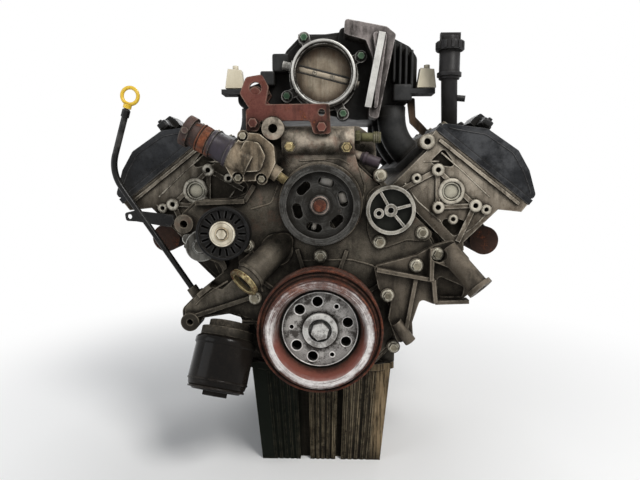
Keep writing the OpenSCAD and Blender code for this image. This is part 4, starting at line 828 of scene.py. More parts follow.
@dataclass(frozen=True)
class CapFinish(Finish):
    """Bright spoked cap whose pocket floors are painted black, which is painted shade."""

    floor_y: Flat = (-0.4883, -0.4856)
    shore: Noise = (90.0, 4.0, 0.55)
    pocket_shade: Colour = (0.0085, 0.0095, 0.0075)
    pocket_shade_share: float = 0.95
    pocket_rough: float = 0.5

    def cover(self, g: Graph, at: Socket, colour: Socket, rough: Socket) -> Look:
        """Returns the black floors of the pockets, which are painted shade."""
        _, y, _ = g.axes(at)
        # painted shade: the pocket floors are turned black
        deep = g.step(g.ragged(y, at, self.shore, 0.002), *self.floor_y)
        colour = g.mix(g.times(deep, self.pocket_shade_share), colour, self.pocket_shade)
        return colour, g.mix_value(deep, rough, self.pocket_rough)


@dataclass(frozen=True)
class SmearSheenFinish(Finish):
    """Black plastic with pale smears that are rougher than the clean plastic, fewer on the left;
    the pale smears are partly painted sheen.
    """

    smear_and_sheen: Colour = (0.060, 0.062, 0.066)
    smears_and_sheen: Noise = (21.0, 8.0, 0.72)
    stretch: Point = (1.0, 0.45, 1.0)
    smear_and_sheen_noise: Flat = (0.40, 0.66)
    right_x: Flat = (-0.05, 0.05)
    shares: Flat = (0.50, 0.85)
    smear_and_sheen_rough: float = 0.58

    def tint(self, g: Graph, at: Socket, colour: Socket, rough: Socket) -> Look:
        """Returns the smears, partly painted sheen, drawn out along the cover."""
        x, _, _ = g.axes(at)
        cloud = g.noise(g.place(at, scale=self.stretch), *self.smears_and_sheen)
        share = g.mix_value(g.step(x, *self.right_x), *self.shares)
        # painted sheen: the pale smears stand partly for sheen on the cover
        amount = g.times(g.step(cloud, *self.smear_and_sheen_noise), share)
        return g.over(amount, (colour, rough), self.smear_and_sheen, self.smear_and_sheen_rough)


@dataclass(frozen=True)
class NeckFinish(Finish):
    """Outlet neck: smooth dark purple grey by the thermostat, rusty towards its mouth."""

    smooth_x: Flat = (-0.166, -0.152)
    shore: Noise = (60.0, 4.0, 0.55)
    smooth: Colour = (0.036, 0.030, 0.040)
    smooth_rough: float = 0.34
    rust_x: Flat = (-0.170, -0.148)
    least_rust: float = 0.12

    def tint(self, g: Graph, at: Socket, colour: Socket, rough: Socket) -> Look:
        """Returns the smooth part's tone."""
        x, _, _ = g.axes(at)
        near = g.step(g.ragged(x, at, self.shore, 0.02), *self.smooth_x)
        return g.over(near, (colour, rough), self.smooth, self.smooth_rough)

    def rust_here(self, g: Graph, at: Socket) -> Input:
        """Returns rust on the outer half, and hardly any on the smooth part."""
        x, _, _ = g.axes(at)
        return g.mix_value(g.step(x, *self.rust_x), self.rust_amount, self.least_rust)


ALLOY = dict(metallic=0.30, roughness=0.56, grain_height=0.00050)
PLASTIC = dict(
    metallic=0.0, roughness=0.42, gloss=0.15, grain_scale=900.0, grain_height=0.00014,
    grime_and_shade=(0.010, 0.009, 0.0075), worn_and_highlight=(0.085, 0.084, 0.084), wear_and_highlight_amount=0.45, oil_amount=0.0,
)
STEEL = dict(metallic=0.70, roughness=0.42, grain_scale=700.0, grain_height=0.00015)

FINISHES: dict[str, Finish] = {f.name: f for f in (
    Finish(
        "cast_block", (0.040, 0.036, 0.030), (0.072, 0.064, 0.052), 0.2, 0.62, rust_amount=0.34,
        oil_amount=0.5, worn_and_highlight=(0.16, 0.14, 0.115),
    ),
    Finish(
        "bedplate_alloy", (0.080, 0.070, 0.056), (0.130, 0.115, 0.094), oil_amount=0.42, **ALLOY,
    ),
    Finish("bearing_metal", (0.40, 0.31, 0.16), (0.46, 0.37, 0.21), 0.9, 0.35, grain_height=0.0001),
    Finish("machined_steel", (0.26, 0.24, 0.21), (0.36, 0.34, 0.30), rust_amount=0.3, **STEEL),
    PanFinish(
        "pan_casting", (0.022, 0.020, 0.015), (0.040, 0.036, 0.026), 0.15, 0.5, gloss=0.06,
        grain_scale=420.0, oil_amount=0.30, worn_and_highlight=(0.22, 0.18, 0.12), wear_and_highlight_amount=0.5,
    ),
    Finish("gasket", (0.012, 0.012, 0.012), (0.022, 0.021, 0.020), 0.0, 0.7, wear_and_highlight_amount=0.0),
    Finish("plug_steel", (0.30, 0.28, 0.24), (0.40, 0.38, 0.34), rust_amount=0.28, **STEEL),
    CoverFinish(
        "cover_alloy", (0.070, 0.060, 0.046), (0.150, 0.130, 0.102), worn_and_highlight=(0.25, 0.215, 0.165),
        wear_and_highlight_amount=0.6, oil_amount=0.22, dust=(0.20, 0.165, 0.12), dust_amount=0.5, **ALLOY,
    ),
    Finish(
        "bolt_steel", (0.110, 0.096, 0.070), (0.300, 0.270, 0.200), rust_amount=0.36,
        rust_scale=140.0, worn_and_highlight=(0.64, 0.60, 0.49), wear_and_highlight_amount=0.85, oil_amount=0.28,
        grime_and_shade_amount=0.8, grime_and_shade_reach=0.006, **STEEL,
    ),
    Finish("seal_rubber", (0.008, 0.008, 0.008), (0.014, 0.013, 0.012), 0.0, 0.55, wear_and_highlight_amount=0.0),
    HeadFinish(
        "head_alloy", (0.168, 0.143, 0.111), (0.350, 0.306, 0.246), grime_and_shade=(0.018, 0.015, 0.011),
        grime_and_shade_amount=1.0, grime_and_shade_reach=0.020, worn_and_highlight=(0.56, 0.51, 0.42), wear_and_highlight_amount=0.65,
        oil_amount=0.42, oil=(0.036, 0.029, 0.021), dust=(0.34, 0.29, 0.22), dust_amount=0.35,
        **ALLOY,
    ),
    Finish("gasket_steel", (0.075, 0.070, 0.065), (0.13, 0.12, 0.11), **STEEL),
    Finish(
        "cup_steel", (0.36, 0.34, 0.27), (0.50, 0.47, 0.38), oil_amount=0.25, grime_and_shade_reach=0.006,
        worn_and_highlight=(0.74, 0.72, 0.62), **STEEL,
    ),
    SmearSheenFinish(
        "cover_plastic", (0.0040, 0.0043, 0.0050), (0.0150, 0.0162, 0.0185),
        dust=(0.17, 0.16, 0.145), dust_amount=0.26,
        **{**PLASTIC, "roughness": 0.32, "gloss": 0.14, "grain_scale": 600.0},
    ),
    Finish(
        "coil_plastic", (0.008, 0.0085, 0.0095), (0.015, 0.0155, 0.0165), dust=(0.13, 0.12, 0.10),
        dust_amount=0.25, **PLASTIC,
    ),
    FaceFinish(
        "hub_iron", (0.21, 0.20, 0.19), (0.43, 0.41, 0.385), 0.45, 0.42, grain_scale=800.0,
        grain_height=0.00030, rust_amount=0.18, rust_scale=110.0, oil_amount=0.0, grime_and_shade_amount=1.0,
        grime_and_shade_reach=0.007, worn_and_highlight=(0.62, 0.60, 0.57), wear_and_highlight_amount=1.0, wear_and_highlight_width=0.0018,
        dust_amount=0.0,
    ),
    Finish(
        "damper_rubber", (0.008, 0.008, 0.008), (0.014, 0.012, 0.011), 0.0, 0.7, wear_and_highlight_amount=0.0,
    ),
    LipFinish(
        "damper_iron", (0.075, 0.027, 0.019), (0.118, 0.043, 0.031), 0.15, 0.62, grain_scale=420.0,
        rust_amount=0.58, rust_scale=42.0, oil_amount=0.36, wear_and_highlight_amount=0.25,
        worn_and_highlight=(0.34, 0.24, 0.20), dust_amount=0.15,
    ),
    FaceFinish(
        "crank_bolt_steel", (0.40, 0.39, 0.37), (0.54, 0.53, 0.50), 0.5, 0.40, gloss=0.3,
        grease_r=(0.017, 0.011), rust_amount=0.12, rust_scale=150.0, oil_amount=0.0,
        worn_and_highlight=(0.72, 0.71, 0.68), wear_and_highlight_amount=0.9, dust_amount=0.0, grime_and_shade_reach=0.006,
        stain=(0.16, 0.15, 0.14),
    ),
    Finish("pump_alloy", (0.080, 0.069, 0.053), (0.142, 0.124, 0.098), oil_amount=0.48, **ALLOY),
    Finish(
        "rusty_steel", (0.105, 0.035, 0.022), (0.160, 0.058, 0.036), 0.1, 0.7, rust_amount=0.72,
        rust_scale=90.0, grime_and_shade_reach=0.006,
    ),
    FaceFinish(
        "pulley_paint", (0.0048, 0.0052, 0.0045), (0.0115, 0.0115, 0.0100), 0.05, 0.30, gloss=0.16,
        centre_x=0.0, centre_z=0.195, stain=(0.0125, 0.0110, 0.0085), worn_and_highlight=(0.17, 0.162, 0.150),
        grain_height=0.0002, wear_and_highlight_amount=0.75, rust_amount=0.24, rust_scale=120.0, oil_amount=0.0,
        dust_amount=0.2, dust=(0.11, 0.10, 0.08),
    ),
    Finish(
        "tensioner_alloy", (0.145, 0.140, 0.124), (0.230, 0.222, 0.200), oil_amount=0.42,
        worn_and_highlight=(0.66, 0.65, 0.60), wear_and_highlight_amount=0.85, **ALLOY,
    ),
    Finish(
        "pulley_plastic", (0.0035, 0.0034, 0.0034), (0.0080, 0.0076, 0.0074),
        dust=(0.11, 0.095, 0.07), dust_amount=0.18, **{**PLASTIC, "gloss": 0.10},
    ),
    Finish(
        "dust_cap", (0.56, 0.50, 0.38), (0.66, 0.60, 0.48), 0.05, 0.45, grime_and_shade=(0.11, 0.082, 0.050),
        oil_amount=0.22, oil=(0.15, 0.115, 0.070), rust_amount=0.14, worn_and_highlight=(0.82, 0.78, 0.68),
        grime_and_shade_amount=0.6, grime_and_shade_reach=0.006, dust_amount=0.0,
    ),
    CapFinish(
        "bright_alloy", (0.185, 0.170, 0.142), (0.420, 0.395, 0.345), grime_and_shade=(0.012, 0.010, 0.0075),
        grime_and_shade_amount=1.0, grime_and_shade_reach=0.010, oil_amount=0.40, oil=(0.045, 0.040, 0.030),
        worn_and_highlight=(0.68, 0.66, 0.60), wear_and_highlight_amount=0.85, wear_and_highlight_width=0.0016, **ALLOY,
    ),
    Finish(
        "bracket_alloy", (0.078, 0.064, 0.048), (0.140, 0.118, 0.092), oil_amount=0.32,
        worn_and_highlight=(0.30, 0.26, 0.205), wear_and_highlight_amount=0.7, dust=(0.26, 0.21, 0.155), dust_amount=0.4,
        **ALLOY,
    ),
    Finish(
        "brass_fitting", (0.22, 0.165, 0.080), (0.38, 0.300, 0.155), 0.6, 0.42, rust_amount=0.32,
        rust_scale=160.0, oil_amount=0.40, worn_and_highlight=(0.78, 0.66, 0.34), wear_and_highlight_amount=0.9,
        grime_and_shade_reach=0.006,
    ),
    Finish(
        "thermostat_alloy", (0.175, 0.130, 0.086), (0.340, 0.275, 0.195), oil_amount=0.45,
        rust_amount=0.26, worn_and_highlight=(0.66, 0.58, 0.45), wear_and_highlight_amount=0.75, **ALLOY,
    ),
    NeckFinish(
        "neck_rust", (0.050, 0.033, 0.030), (0.098, 0.062, 0.050), 0.15, 0.60, gloss=0.2,
        rust_amount=0.42, rust_scale=55.0, oil_amount=0.34, wear_and_highlight_amount=0.4, dust_amount=0.2,
    ),
    Finish(
        "neck_band", (0.110, 0.040, 0.026), (0.250, 0.082, 0.038), 0.0, 0.8, rust_amount=0.42,
        rust_scale=90.0, oil_amount=0.34, wear_and_highlight_amount=0.2,
    ),
    Finish(
        "sensor_body", (0.110, 0.105, 0.048), (0.190, 0.180, 0.095), 0.35, 0.45, rust_amount=0.2,
        rust_scale=140.0, grime_and_shade_reach=0.007,
    ),
    Finish(
        "hose_rubber", (0.020, 0.011, 0.017), (0.040, 0.024, 0.033), 0.0, 0.55, gloss=0.35,
        wear_and_highlight_amount=0.0,
    ),
    Finish(
        "lift_rust", (0.094, 0.031, 0.025), (0.150, 0.056, 0.043), 0.1, 0.66, rust_amount=0.34,
        rust_scale=60.0, oil_amount=0.36, worn_and_highlight=(0.36, 0.26, 0.20), wear_and_highlight_amount=0.5,
    ),
    Finish(
        "manifold_plastic", (0.0150, 0.0155, 0.0158), (0.032, 0.0322, 0.0320),
        dust=(0.125, 0.11, 0.09), dust_amount=0.30, **{**PLASTIC, "roughness": 0.48},
    ),
    Finish(
        "stay_rust", (0.080, 0.050, 0.032), (0.130, 0.084, 0.055), 0.1, 0.6, rust_amount=0.36,
        oil_amount=0.4,
    ),
    PlateFinish(
        "throttle_alloy", (0.165, 0.160, 0.150), (0.270, 0.262, 0.245), 0.4, 0.42,
        film=(0.12, 0.100, 0.075), edge_r=(0.060, 0.047), grain_height=0.00025, oil_amount=0.35,
        worn_and_highlight=(0.70, 0.68, 0.63), wear_and_highlight_amount=0.8,
    ),
    Finish(
        "rim_polish", (0.36, 0.35, 0.325), (0.54, 0.53, 0.50), 0.55, 0.38, oil_amount=0.24,
        grain_height=0.0001, worn_and_highlight=(0.85, 0.84, 0.80), wear_and_highlight_amount=0.6, dust_amount=0.0,
    ),
    Finish(
        "green_bolts", (0.030, 0.075, 0.040), (0.070, 0.130, 0.075), 0.4, 0.4,
        worn_and_highlight=(0.40, 0.47, 0.37), wear_and_highlight_amount=0.7, rust_amount=0.12, rust_scale=150.0,
        grime_and_shade_reach=0.006,
    ),
    PlateFinish(
        "plate_brass", (0.185, 0.155, 0.115), (0.320, 0.272, 0.205), 0.35, 0.38, grain_scale=900.0,
        grain_height=0.00008, film=(0.155, 0.105, 0.070), oil_amount=0.32,
        oil=(0.062, 0.052, 0.038), dust_amount=0.0, grime_and_shade_amount=0.8, grime_and_shade_reach=0.006,
    ),
    Finish(
        "shaft_bar", (0.24, 0.200, 0.150), (0.40, 0.345, 0.265), 0.35, 0.40, grain_height=0.0001,
        oil_amount=0.2, oil=(0.06, 0.05, 0.036), worn_and_highlight=(0.52, 0.46, 0.37), wear_and_highlight_amount=0.7,
        dust_amount=0.0, grime_and_shade_reach=0.004,
    ),
    Finish(
        "shaft_steel", (0.20, 0.175, 0.14), (0.34, 0.31, 0.26), oil_amount=0.35, grime_and_shade_reach=0.006,
        **STEEL,
    ),
    Finish(
        "actuator_alloy", (0.115, 0.101, 0.098), (0.300, 0.265, 0.255), oil_amount=0.48,
        worn_and_highlight=(0.50, 0.46, 0.44), wear_and_highlight_amount=0.9, grime_and_shade_reach=0.020, **ALLOY,
    ),
    Finish(
        "clip_steel", (0.42, 0.41, 0.385), (0.58, 0.57, 0.54), 0.6, 0.36, grain_height=0.00012,
        oil_amount=0.22, worn_and_highlight=(0.88, 0.88, 0.85), grime_and_shade_amount=0.4, grime_and_shade_reach=0.006,
    ),
    Finish(
        "cream_plastic", (0.56, 0.50, 0.37), (0.66, 0.60, 0.46), 0.0, 0.38, gloss=0.4,
        grain_height=0.0001, grime_and_shade=(0.15, 0.12, 0.075), grime_and_shade_amount=0.5, grime_and_shade_reach=0.008,
        oil_amount=0.16, oil=(0.18, 0.145, 0.09), worn_and_highlight=(0.80, 0.76, 0.66),
    ),
    Finish(
        "filler_plastic", (0.0115, 0.0110, 0.0115), (0.021, 0.020, 0.020), dust=(0.13, 0.12, 0.10),
        dust_amount=0.28, **PLASTIC,
    ),
    Finish(
        "filter_paint", (0.0036, 0.0030, 0.0027), (0.0100, 0.0078, 0.0062), 0.0, 0.20, gloss=0.10,
        grain_scale=300.0, grain_height=0.00005, grime_and_shade=(0.010, 0.008, 0.006), oil_amount=0.0,
        worn_and_highlight=(0.060, 0.050, 0.042), dust_amount=0.06, dust=(0.09, 0.07, 0.05),
    ),
    Finish(
        "exhaust_iron", (0.032, 0.018, 0.014), (0.058, 0.032, 0.024), 0.1, 0.75, rust_amount=0.38,
        rust_scale=50.0, oil_amount=0.24, worn_and_highlight=(0.16, 0.10, 0.07),
    ),
    Finish(
        "tube_paint", (0.0045, 0.0045, 0.0046), (0.009, 0.009, 0.009), 0.0, 0.26, gloss=0.16,
        grain_height=0.00008, wear_and_highlight_amount=0.4, worn_and_highlight=(0.10, 0.095, 0.09), oil_amount=0.0,
        dust_amount=0.12, grime_and_shade_amount=0.3,
    ),
    Finish(
        "yellow_plastic", (0.62, 0.40, 0.018), (0.76, 0.50, 0.030), 0.0, 0.30, gloss=0.5,
        grain_height=0.00005, grime_and_shade=(0.22, 0.13, 0.015), grime_and_shade_amount=0.6, grime_and_shade_reach=0.004,
        oil_amount=0.12, oil=(0.28, 0.17, 0.02), worn_and_highlight=(0.88, 0.68, 0.22), dust_amount=0.0,
    ),
    Finish(
        "boss_face", (0.20, 0.180, 0.142), (0.40, 0.365, 0.300), 0.4, 0.42, rust_amount=0.18,
        rust_scale=150.0, oil_amount=0.25, worn_and_highlight=(0.58, 0.54, 0.45), wear_and_highlight_amount=0.7,
        grain_height=0.00015, grime_and_shade_reach=0.005,
    ),
    # painted shade: the left head's boss faces, a darker copy of boss_face
    Finish(
        "dull_boss_face", (0.150, 0.138, 0.110), (0.270, 0.250, 0.205), 0.4, 0.44, rust_amount=0.14,
        rust_scale=150.0, oil_amount=0.42, worn_and_highlight=(0.50, 0.47, 0.40), wear_and_highlight_amount=0.8,
        grain_height=0.00015, grime_and_shade_reach=0.005,
    ),
    Finish(
        "screw_head", (0.130, 0.110, 0.082), (0.24, 0.21, 0.160), 0.4, 0.42, oil_amount=0.4,
        worn_and_highlight=(0.46, 0.41, 0.33), wear_and_highlight_amount=0.9, grain_height=0.0001, grime_and_shade_amount=1.0,
        grime_and_shade_reach=0.003, dust_amount=0.0,
    ),
    Finish(
        "worn_rim", (0.46, 0.44, 0.42), (0.66, 0.64, 0.61), 0.5, 0.36, rust_amount=0.16,
        rust_scale=150.0, oil_amount=0.15, worn_and_highlight=(0.85, 0.83, 0.80), wear_and_highlight_amount=0.8,
        grain_height=0.0001, grime_and_shade_amount=0.5, grime_and_shade_reach=0.004, dust_amount=0.0,
    ),
    Finish(
        "stained_washer", (0.32, 0.235, 0.14), (0.46, 0.37, 0.24), 0.4, 0.45, rust_amount=0.2,
        rust_scale=160.0, oil_amount=0.15, worn_and_highlight=(0.75, 0.66, 0.50), wear_and_highlight_amount=0.6,
        dust_amount=0.0, grime_and_shade_reach=0.005,
    ),
    Finish(
        "golden_crust", (0.21, 0.150, 0.060), (0.70, 0.58, 0.30), 0.1, 0.62, rust_amount=0.46,
        rust_scale=190.0, grain_scale=260.0, grain_height=0.0011, oil_amount=0.62,
        oil=(0.05, 0.037, 0.020), worn_and_highlight=(0.80, 0.70, 0.42), wear_and_highlight_amount=0.5, dust_amount=0.0,
        grime_and_shade_reach=0.006,
    ),
    Finish(
        "hub_collar", (0.090, 0.068, 0.057), (0.250, 0.195, 0.165), 0.2, 0.5, rust_amount=0.30,
        rust_scale=160.0, oil_amount=0.36, worn_and_highlight=(0.48, 0.40, 0.35), wear_and_highlight_amount=0.8,
        dust_amount=0.0, grime_and_shade_reach=0.005,
    ),
    # painted light: the lugs are made pale so that they show bright in the windows' shade
    Finish(
        "lug_alloy", (0.62, 0.56, 0.48), (0.86, 0.82, 0.75), 0.1, 0.42, grime_and_shade_amount=0.2,
        grime_and_shade_reach=0.003, oil_amount=0.2, grain_height=0.0002, dust_amount=0.0,
    ),
    Finish(
        "sealant", (0.014, 0.0135, 0.0125), (0.026, 0.025, 0.023), 0.0, 0.5, gloss=0.4,
        wear_and_highlight_amount=0.0,
    ),
)}


class Edge(Enum):
    """How a node's outer corners are broken: the bevel's width in metres and its segments."""

    NONE = (0.0, 0)
    FINE = (0.0004, 1)
    MACHINED = (0.0008, 2)
    CAST = (0.0018, 2)
    SOFT = (0.0028, 3)


Edges = dict[Edge, tuple[str, ...]]
CORNER_ANGLE = math.radians(32)
FLAT_ANGLE = math.radians(0.6)
MERGE = 0.00002
SEAM = 1e-6
ON_AXIS = 1e-7
NOTHING = 1e-9
TINY = 1e-12
FORWARD: Point = (0.0, -1.0, 0.0)
UP: Point = (0.0, 0.0, 1.0)
ASLANT: Point = (0.3, 0.9, 0.2)


def coat(piece: bpy.types.Object, finish: str) -> None:
    """Gives a piece one finish all over."""
    piece.data.materials.clear()
    piece.data.materials.append(FINISHES[finish].build())
    piece.data.polygons.foreach_set("material_index", np.zeros(len(piece.data.polygons), np.int32))


def dress(node: str, edge: Edge) -> None:
    """Gives a CAD node its broken corners and its finish.

    Args:
        node: the node's name, whose slot in the record names its finish.
        edge: how its corners are broken.
    """
    piece = frame["nodes"][node]
    slots = {part["node"]: part["material_slot"] for part in frame["record"]["subparts"]}
    coat(piece, slots[node])
    width, segments = edge.value
    if width > 0:
        weld = piece.modifiers.new("join", "WELD")
        weld.merge_threshold = MERGE
        flat = piece.modifiers.new("flats", "DECIMATE")
        flat.decimate_type = "DISSOLVE"
        flat.angle_limit = FLAT_ANGLE
        bevel = piece.modifiers.new("corners", "BEVEL")
        bevel.width = width
        bevel.segments = segments
        bevel.limit_method = "ANGLE"
        bevel.angle_limit = CORNER_ANGLE


# Surfaces worked out on a grid


def unit(vector: np.ndarray | Point) -> np.ndarray:
    """Returns the vector at length 1."""
    vector = np.asarray(vector, float)
    return vector / np.linalg.norm(vector)


def signed_power(value: np.ndarray, power: float, nothing: float = 0.0) -> np.ndarray:
    """Returns the value to a power with its sign kept; below nothing in size it is nothing."""
    return np.where(np.abs(value) < nothing, 0.0, np.sign(value) * np.abs(value) ** power)


def smoothed(values: np.ndarray, width: int) -> np.ndarray:
    """Returns each value's mean with its neighbours, width in all, the end values repeated."""
    padded = np.pad(values, width // 2, mode="edge")
    return np.convolve(padded, np.ones(width) / width, mode="valid")


def grid_faces(rows: int, columns: int, ring_rows: bool, ring_columns: bool) -> np.ndarray:
    """Returns the quads of a grid of points kept row by row.

    Args:
        rows: the number of rows.
        columns: the number of points in a row.
        ring_rows: whether the last row joins the first.
        ring_columns: whether each row's last point joins its first.

    Returns:
        One line of four point numbers a quad.
    """
    row = np.arange(rows if ring_rows else rows - 1)[:, None]
    column = np.arange(columns if ring_columns else columns - 1)[None, :]
    here, below, beside = row * columns, (row + 1) % rows * columns, (column + 1) % columns
    corners = (here + column, here + beside, below + beside, below + column)
    return np.stack(np.broadcast_arrays(*corners), axis=-1).reshape(-1, 4)


@dataclass(frozen=True)
class Skin:
    """Where a new piece belongs: its name, body, slot and finish."""

    name: str
    body: str
    slot: str
    finish: str

    def lay(self, sheets: list[Sheet]) -> bpy.types.Object:
        """Makes the piece from closed surfaces, its doubles merged and its faces outwards.

        Args:
            sheets: the points and the quads of each surface.

        Returns:
            The piece.
        """
        starts = np.cumsum([0] + [len(points) for points, _ in sheets])
        points = np.concatenate([points for points, _ in sheets])
        faces = np.concatenate([faces + start for (_, faces), start in zip(sheets, starts)])
        mesh = bpy.data.meshes.new(self.name)
        mesh.from_pydata(points.tolist(), [], faces.tolist())
        shape = bmesh.new()
        shape.from_mesh(mesh)
        bmesh.ops.remove_doubles(shape, verts=shape.verts, dist=SEAM)
        bmesh.ops.dissolve_degenerate(shape, edges=shape.edges, dist=SEAM)
        bmesh.ops.recalc_face_normals(shape, faces=shape.faces)
        shape.to_mesh(mesh)
        shape.free()
        mesh.polygons.foreach_set("use_smooth", np.ones(len(mesh.polygons), bool))
        piece = bpy.data.objects.new(self.name, mesh)
        bpy.context.scene.collection.objects.link(piece)
        coat(piece, self.finish)
        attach(piece, self.body)
        log.info("%s: %d faces, rides on %s", self.name, len(mesh.polygons), self.body)
        return piece


@dataclass(frozen=True)
class Turning:
    """How a profile is turned: its segments, the most that the surface wanders, and which way.

    The wandering is a sum of sines of several orders, weaker the higher they are. sway and heave
    are its shares outwards and along the axis; span and twist set how it changes over the profile.
    """

    turns: int = 64
    wave: float = 0.0
    seed: int = 0

    orders: ClassVar[np.ndarray] = np.array([2, 3, 5, 8, 13, 19, 29])
    fall: ClassVar[float] = 0.45
    span: ClassVar[float] = 4.0
    twist: ClassVar[float] = 1.3
    sway: ClassVar[float] = 0.5
    heave: ClassVar[float] = 0.35

    def turn(self, profile: np.ndarray | list[Flat], centre: Point, axis: Point = FORWARD) -> Sheet:
        """Turns a profile about an axis.

        A point is centre + axis * height + radius * (cos a * u + sin a * v), where u and v stand
        across the axis. With a wave, radius and height change with the angle by sums of sines.

        Args:
            profile: (radius, height) pairs; a closed outline, or a line with its ends on the axis.
            centre: a point of the axis.
            axis: its direction.

        Returns:
            The points and the quads.
        """
        profile = np.asarray(profile, float)
        axis = unit(axis)
        u = unit(np.cross(axis, ASLANT))
        v = np.cross(axis, u)
        a = np.linspace(0, 2 * np.pi, self.turns, endpoint=False)[:, None]
        phases = np.random.default_rng(self.seed).uniform(0, 2 * np.pi, (2, len(self.orders)))
        radial, along = (
            np.sin(a * self.orders + phase)[:, :, None] / self.orders[:, None] ** self.fall
            for phase in phases
        )
        mark = np.linspace(0, self.span, len(profile))[None, None, :]
        order = self.orders[None, :, None]
        shift = (radial * np.cos(mark + order)).sum(1) * self.wave * self.sway
        lift = (along * np.sin(mark * self.twist + order)).sum(1) * self.wave * self.heave
        radius = profile[None, :, 0] + np.where(profile[None, :, 0] > ON_AXIS, shift, 0.0)
        height = profile[None, :, 1] + lift
        around = np.cos(a)[..., None] * u + np.sin(a)[..., None] * v
        points = np.asarray(centre) + height[..., None] * axis + radius[..., None] * around
        faces = grid_faces(self.turns, len(profile), True, profile[0, 0] > ON_AXIS)
        return points.reshape(-1, 3), faces


@dataclass(frozen=True)
class Ring:
    """A rounded ring between two radii and two heights along its axis.

    points and square give its section, a superellipse of that power; turning says how it is turned.
    """

    inner: float
    outer: float
    low: float
    high: float
    points: int = 12
    square: float = 0.9
    turning: Turning = Turning()

    def lay(self, centre: Point, axis: Point = FORWARD) -> Sheet:
        """Returns the ring round an axis through the centre.

        The section's point at angle a is the middle plus half the width times cos a and half the
        height times sin a, each raised to the power with its sign kept.
        """
        a = np.linspace(0, 2 * np.pi, self.points, endpoint=False)
        x = signed_power(np.cos(a), self.square)
        y = signed_power(np.sin(a), self.square)
        radius = (self.inner + self.outer) / 2 + x * (self.outer - self.inner) / 2
        height = (self.low + self.high) / 2 + y * (self.high - self.low) / 2
        return self.turning.turn(np.stack([radius, height], axis=1), centre, axis)


@dataclass(frozen=True)
class Bead:
    """A round bead: its radius, the share it changes by, its sides and its height against width.

    step is the length of a segment against the radius, and cap the points of a rounded end.
    """

    radius: float
    wave: float = 0.0
    sides: int = 10
    flat: float = 1.0

    step: ClassVar[float] = 1.6
    cap: ClassVar[int] = 5

    def carry(self, path: list[Point], up: Point | np.ndarray = FORWARD, seed: int = 0) -> Sheet:
        """Carries the bead's circle along a path, and closes it to a point at both ends.

        A point is path(s) + r(s) * (cos b * across + flat * sin b * up); r(s) is the radius, a
        little more or less by a smooth random wave, and falls to nothing at the ends as a quarter
        circle.

        Args:
            path: the corner points, which are joined by even steps.
            up: the direction that stays upright.
            seed: which wave.

        Returns:
            The points and the quads.
        """
        path = np.asarray(path, float)
        run = np.concatenate([[0], np.cumsum(np.linalg.norm(np.diff(path, axis=0), axis=1))])
        end = run[-1]
        count = max(8, int(end / (self.radius * self.step)))
        s = np.concatenate([
            np.linspace(0, self.radius, self.cap)[:-1],
            np.linspace(self.radius, end - self.radius, count),
            np.linspace(end - self.radius, end, self.cap)[1:],
        ])
        line = np.stack([np.interp(s, run, path[:, k]) for k in range(3)], axis=1)
        smooth = np.stack([smoothed(line[:, k], 5) for k in range(3)], axis=1)
        smooth[[0, -1]] = line[[0, -1]]
        tangent = np.gradient(smooth, axis=0)
        tangent /= np.linalg.norm(tangent, axis=1, keepdims=True) + TINY
        up = unit(up)
        across = np.cross(tangent, up)
        across /= np.linalg.norm(across, axis=1, keepdims=True) + TINY
        depth = np.clip(np.minimum(s, end - s) / self.radius, 0, 1)
        taper = np.sqrt(np.clip(1 - (1 - depth) ** 2, 0, 1))
        noise = smoothed(np.random.default_rng(seed).normal(size=len(s)), 7)
        r = self.radius * taper * (1 + self.wave * noise)
        b = np.linspace(0, 2 * np.pi, self.sides, endpoint=False)[None, :, None]
        circle = np.cos(b) * across[:, None] + self.flat * np.sin(b) * up
        points = smooth[:, None] + r[:, None, None] * circle
        return points.reshape(-1, 3), grid_faces(len(s), self.sides, False, True)


@dataclass(frozen=True)
class Pillow:
    """A box with rounded sides, a superellipsoid.

    half is half its size along its own three axes, and square the power, from 1, an ellipsoid, to
    0, a plain box. rows counts the points from pole to pole and columns those round it.
    """

    half: Point
    square: float = 0.35
    rows: int = 14
    columns: int = 24

    def lay(self, centre: Point, axes: np.ndarray | None = None) -> Sheet:
        """Returns the box.

        A point is centre + a * c(v) * c(u) * x + b * c(v) * s(u) * y + h * s(v) * z, where c and s
        are cosine and sine raised to the power square with their signs kept.

        Args:
            centre: the middle of the box.
            axes: its axes, one a row; the frame's own if not given.

        Returns:
            The points and the quads.
        """
        axes = np.eye(3) if axes is None else axes
        v = np.linspace(-np.pi / 2, np.pi / 2, self.rows)[:, None]
        u = np.linspace(0, 2 * np.pi, self.columns, endpoint=False)[None, :]
        cv, sv, cu, su = (
            signed_power(wave(angle), self.square, NOTHING)
            for angle in (v, u) for wave in (np.cos, np.sin)
        )
        parts = (cv * cu, cv * su, sv * np.ones_like(u))
        points = np.asarray(centre) + sum(
            part[..., None] * size * axis for part, size, axis in zip(parts, self.half, axes)
        )
        return points.reshape(-1, 3), grid_faces(self.rows, self.columns, False, True)


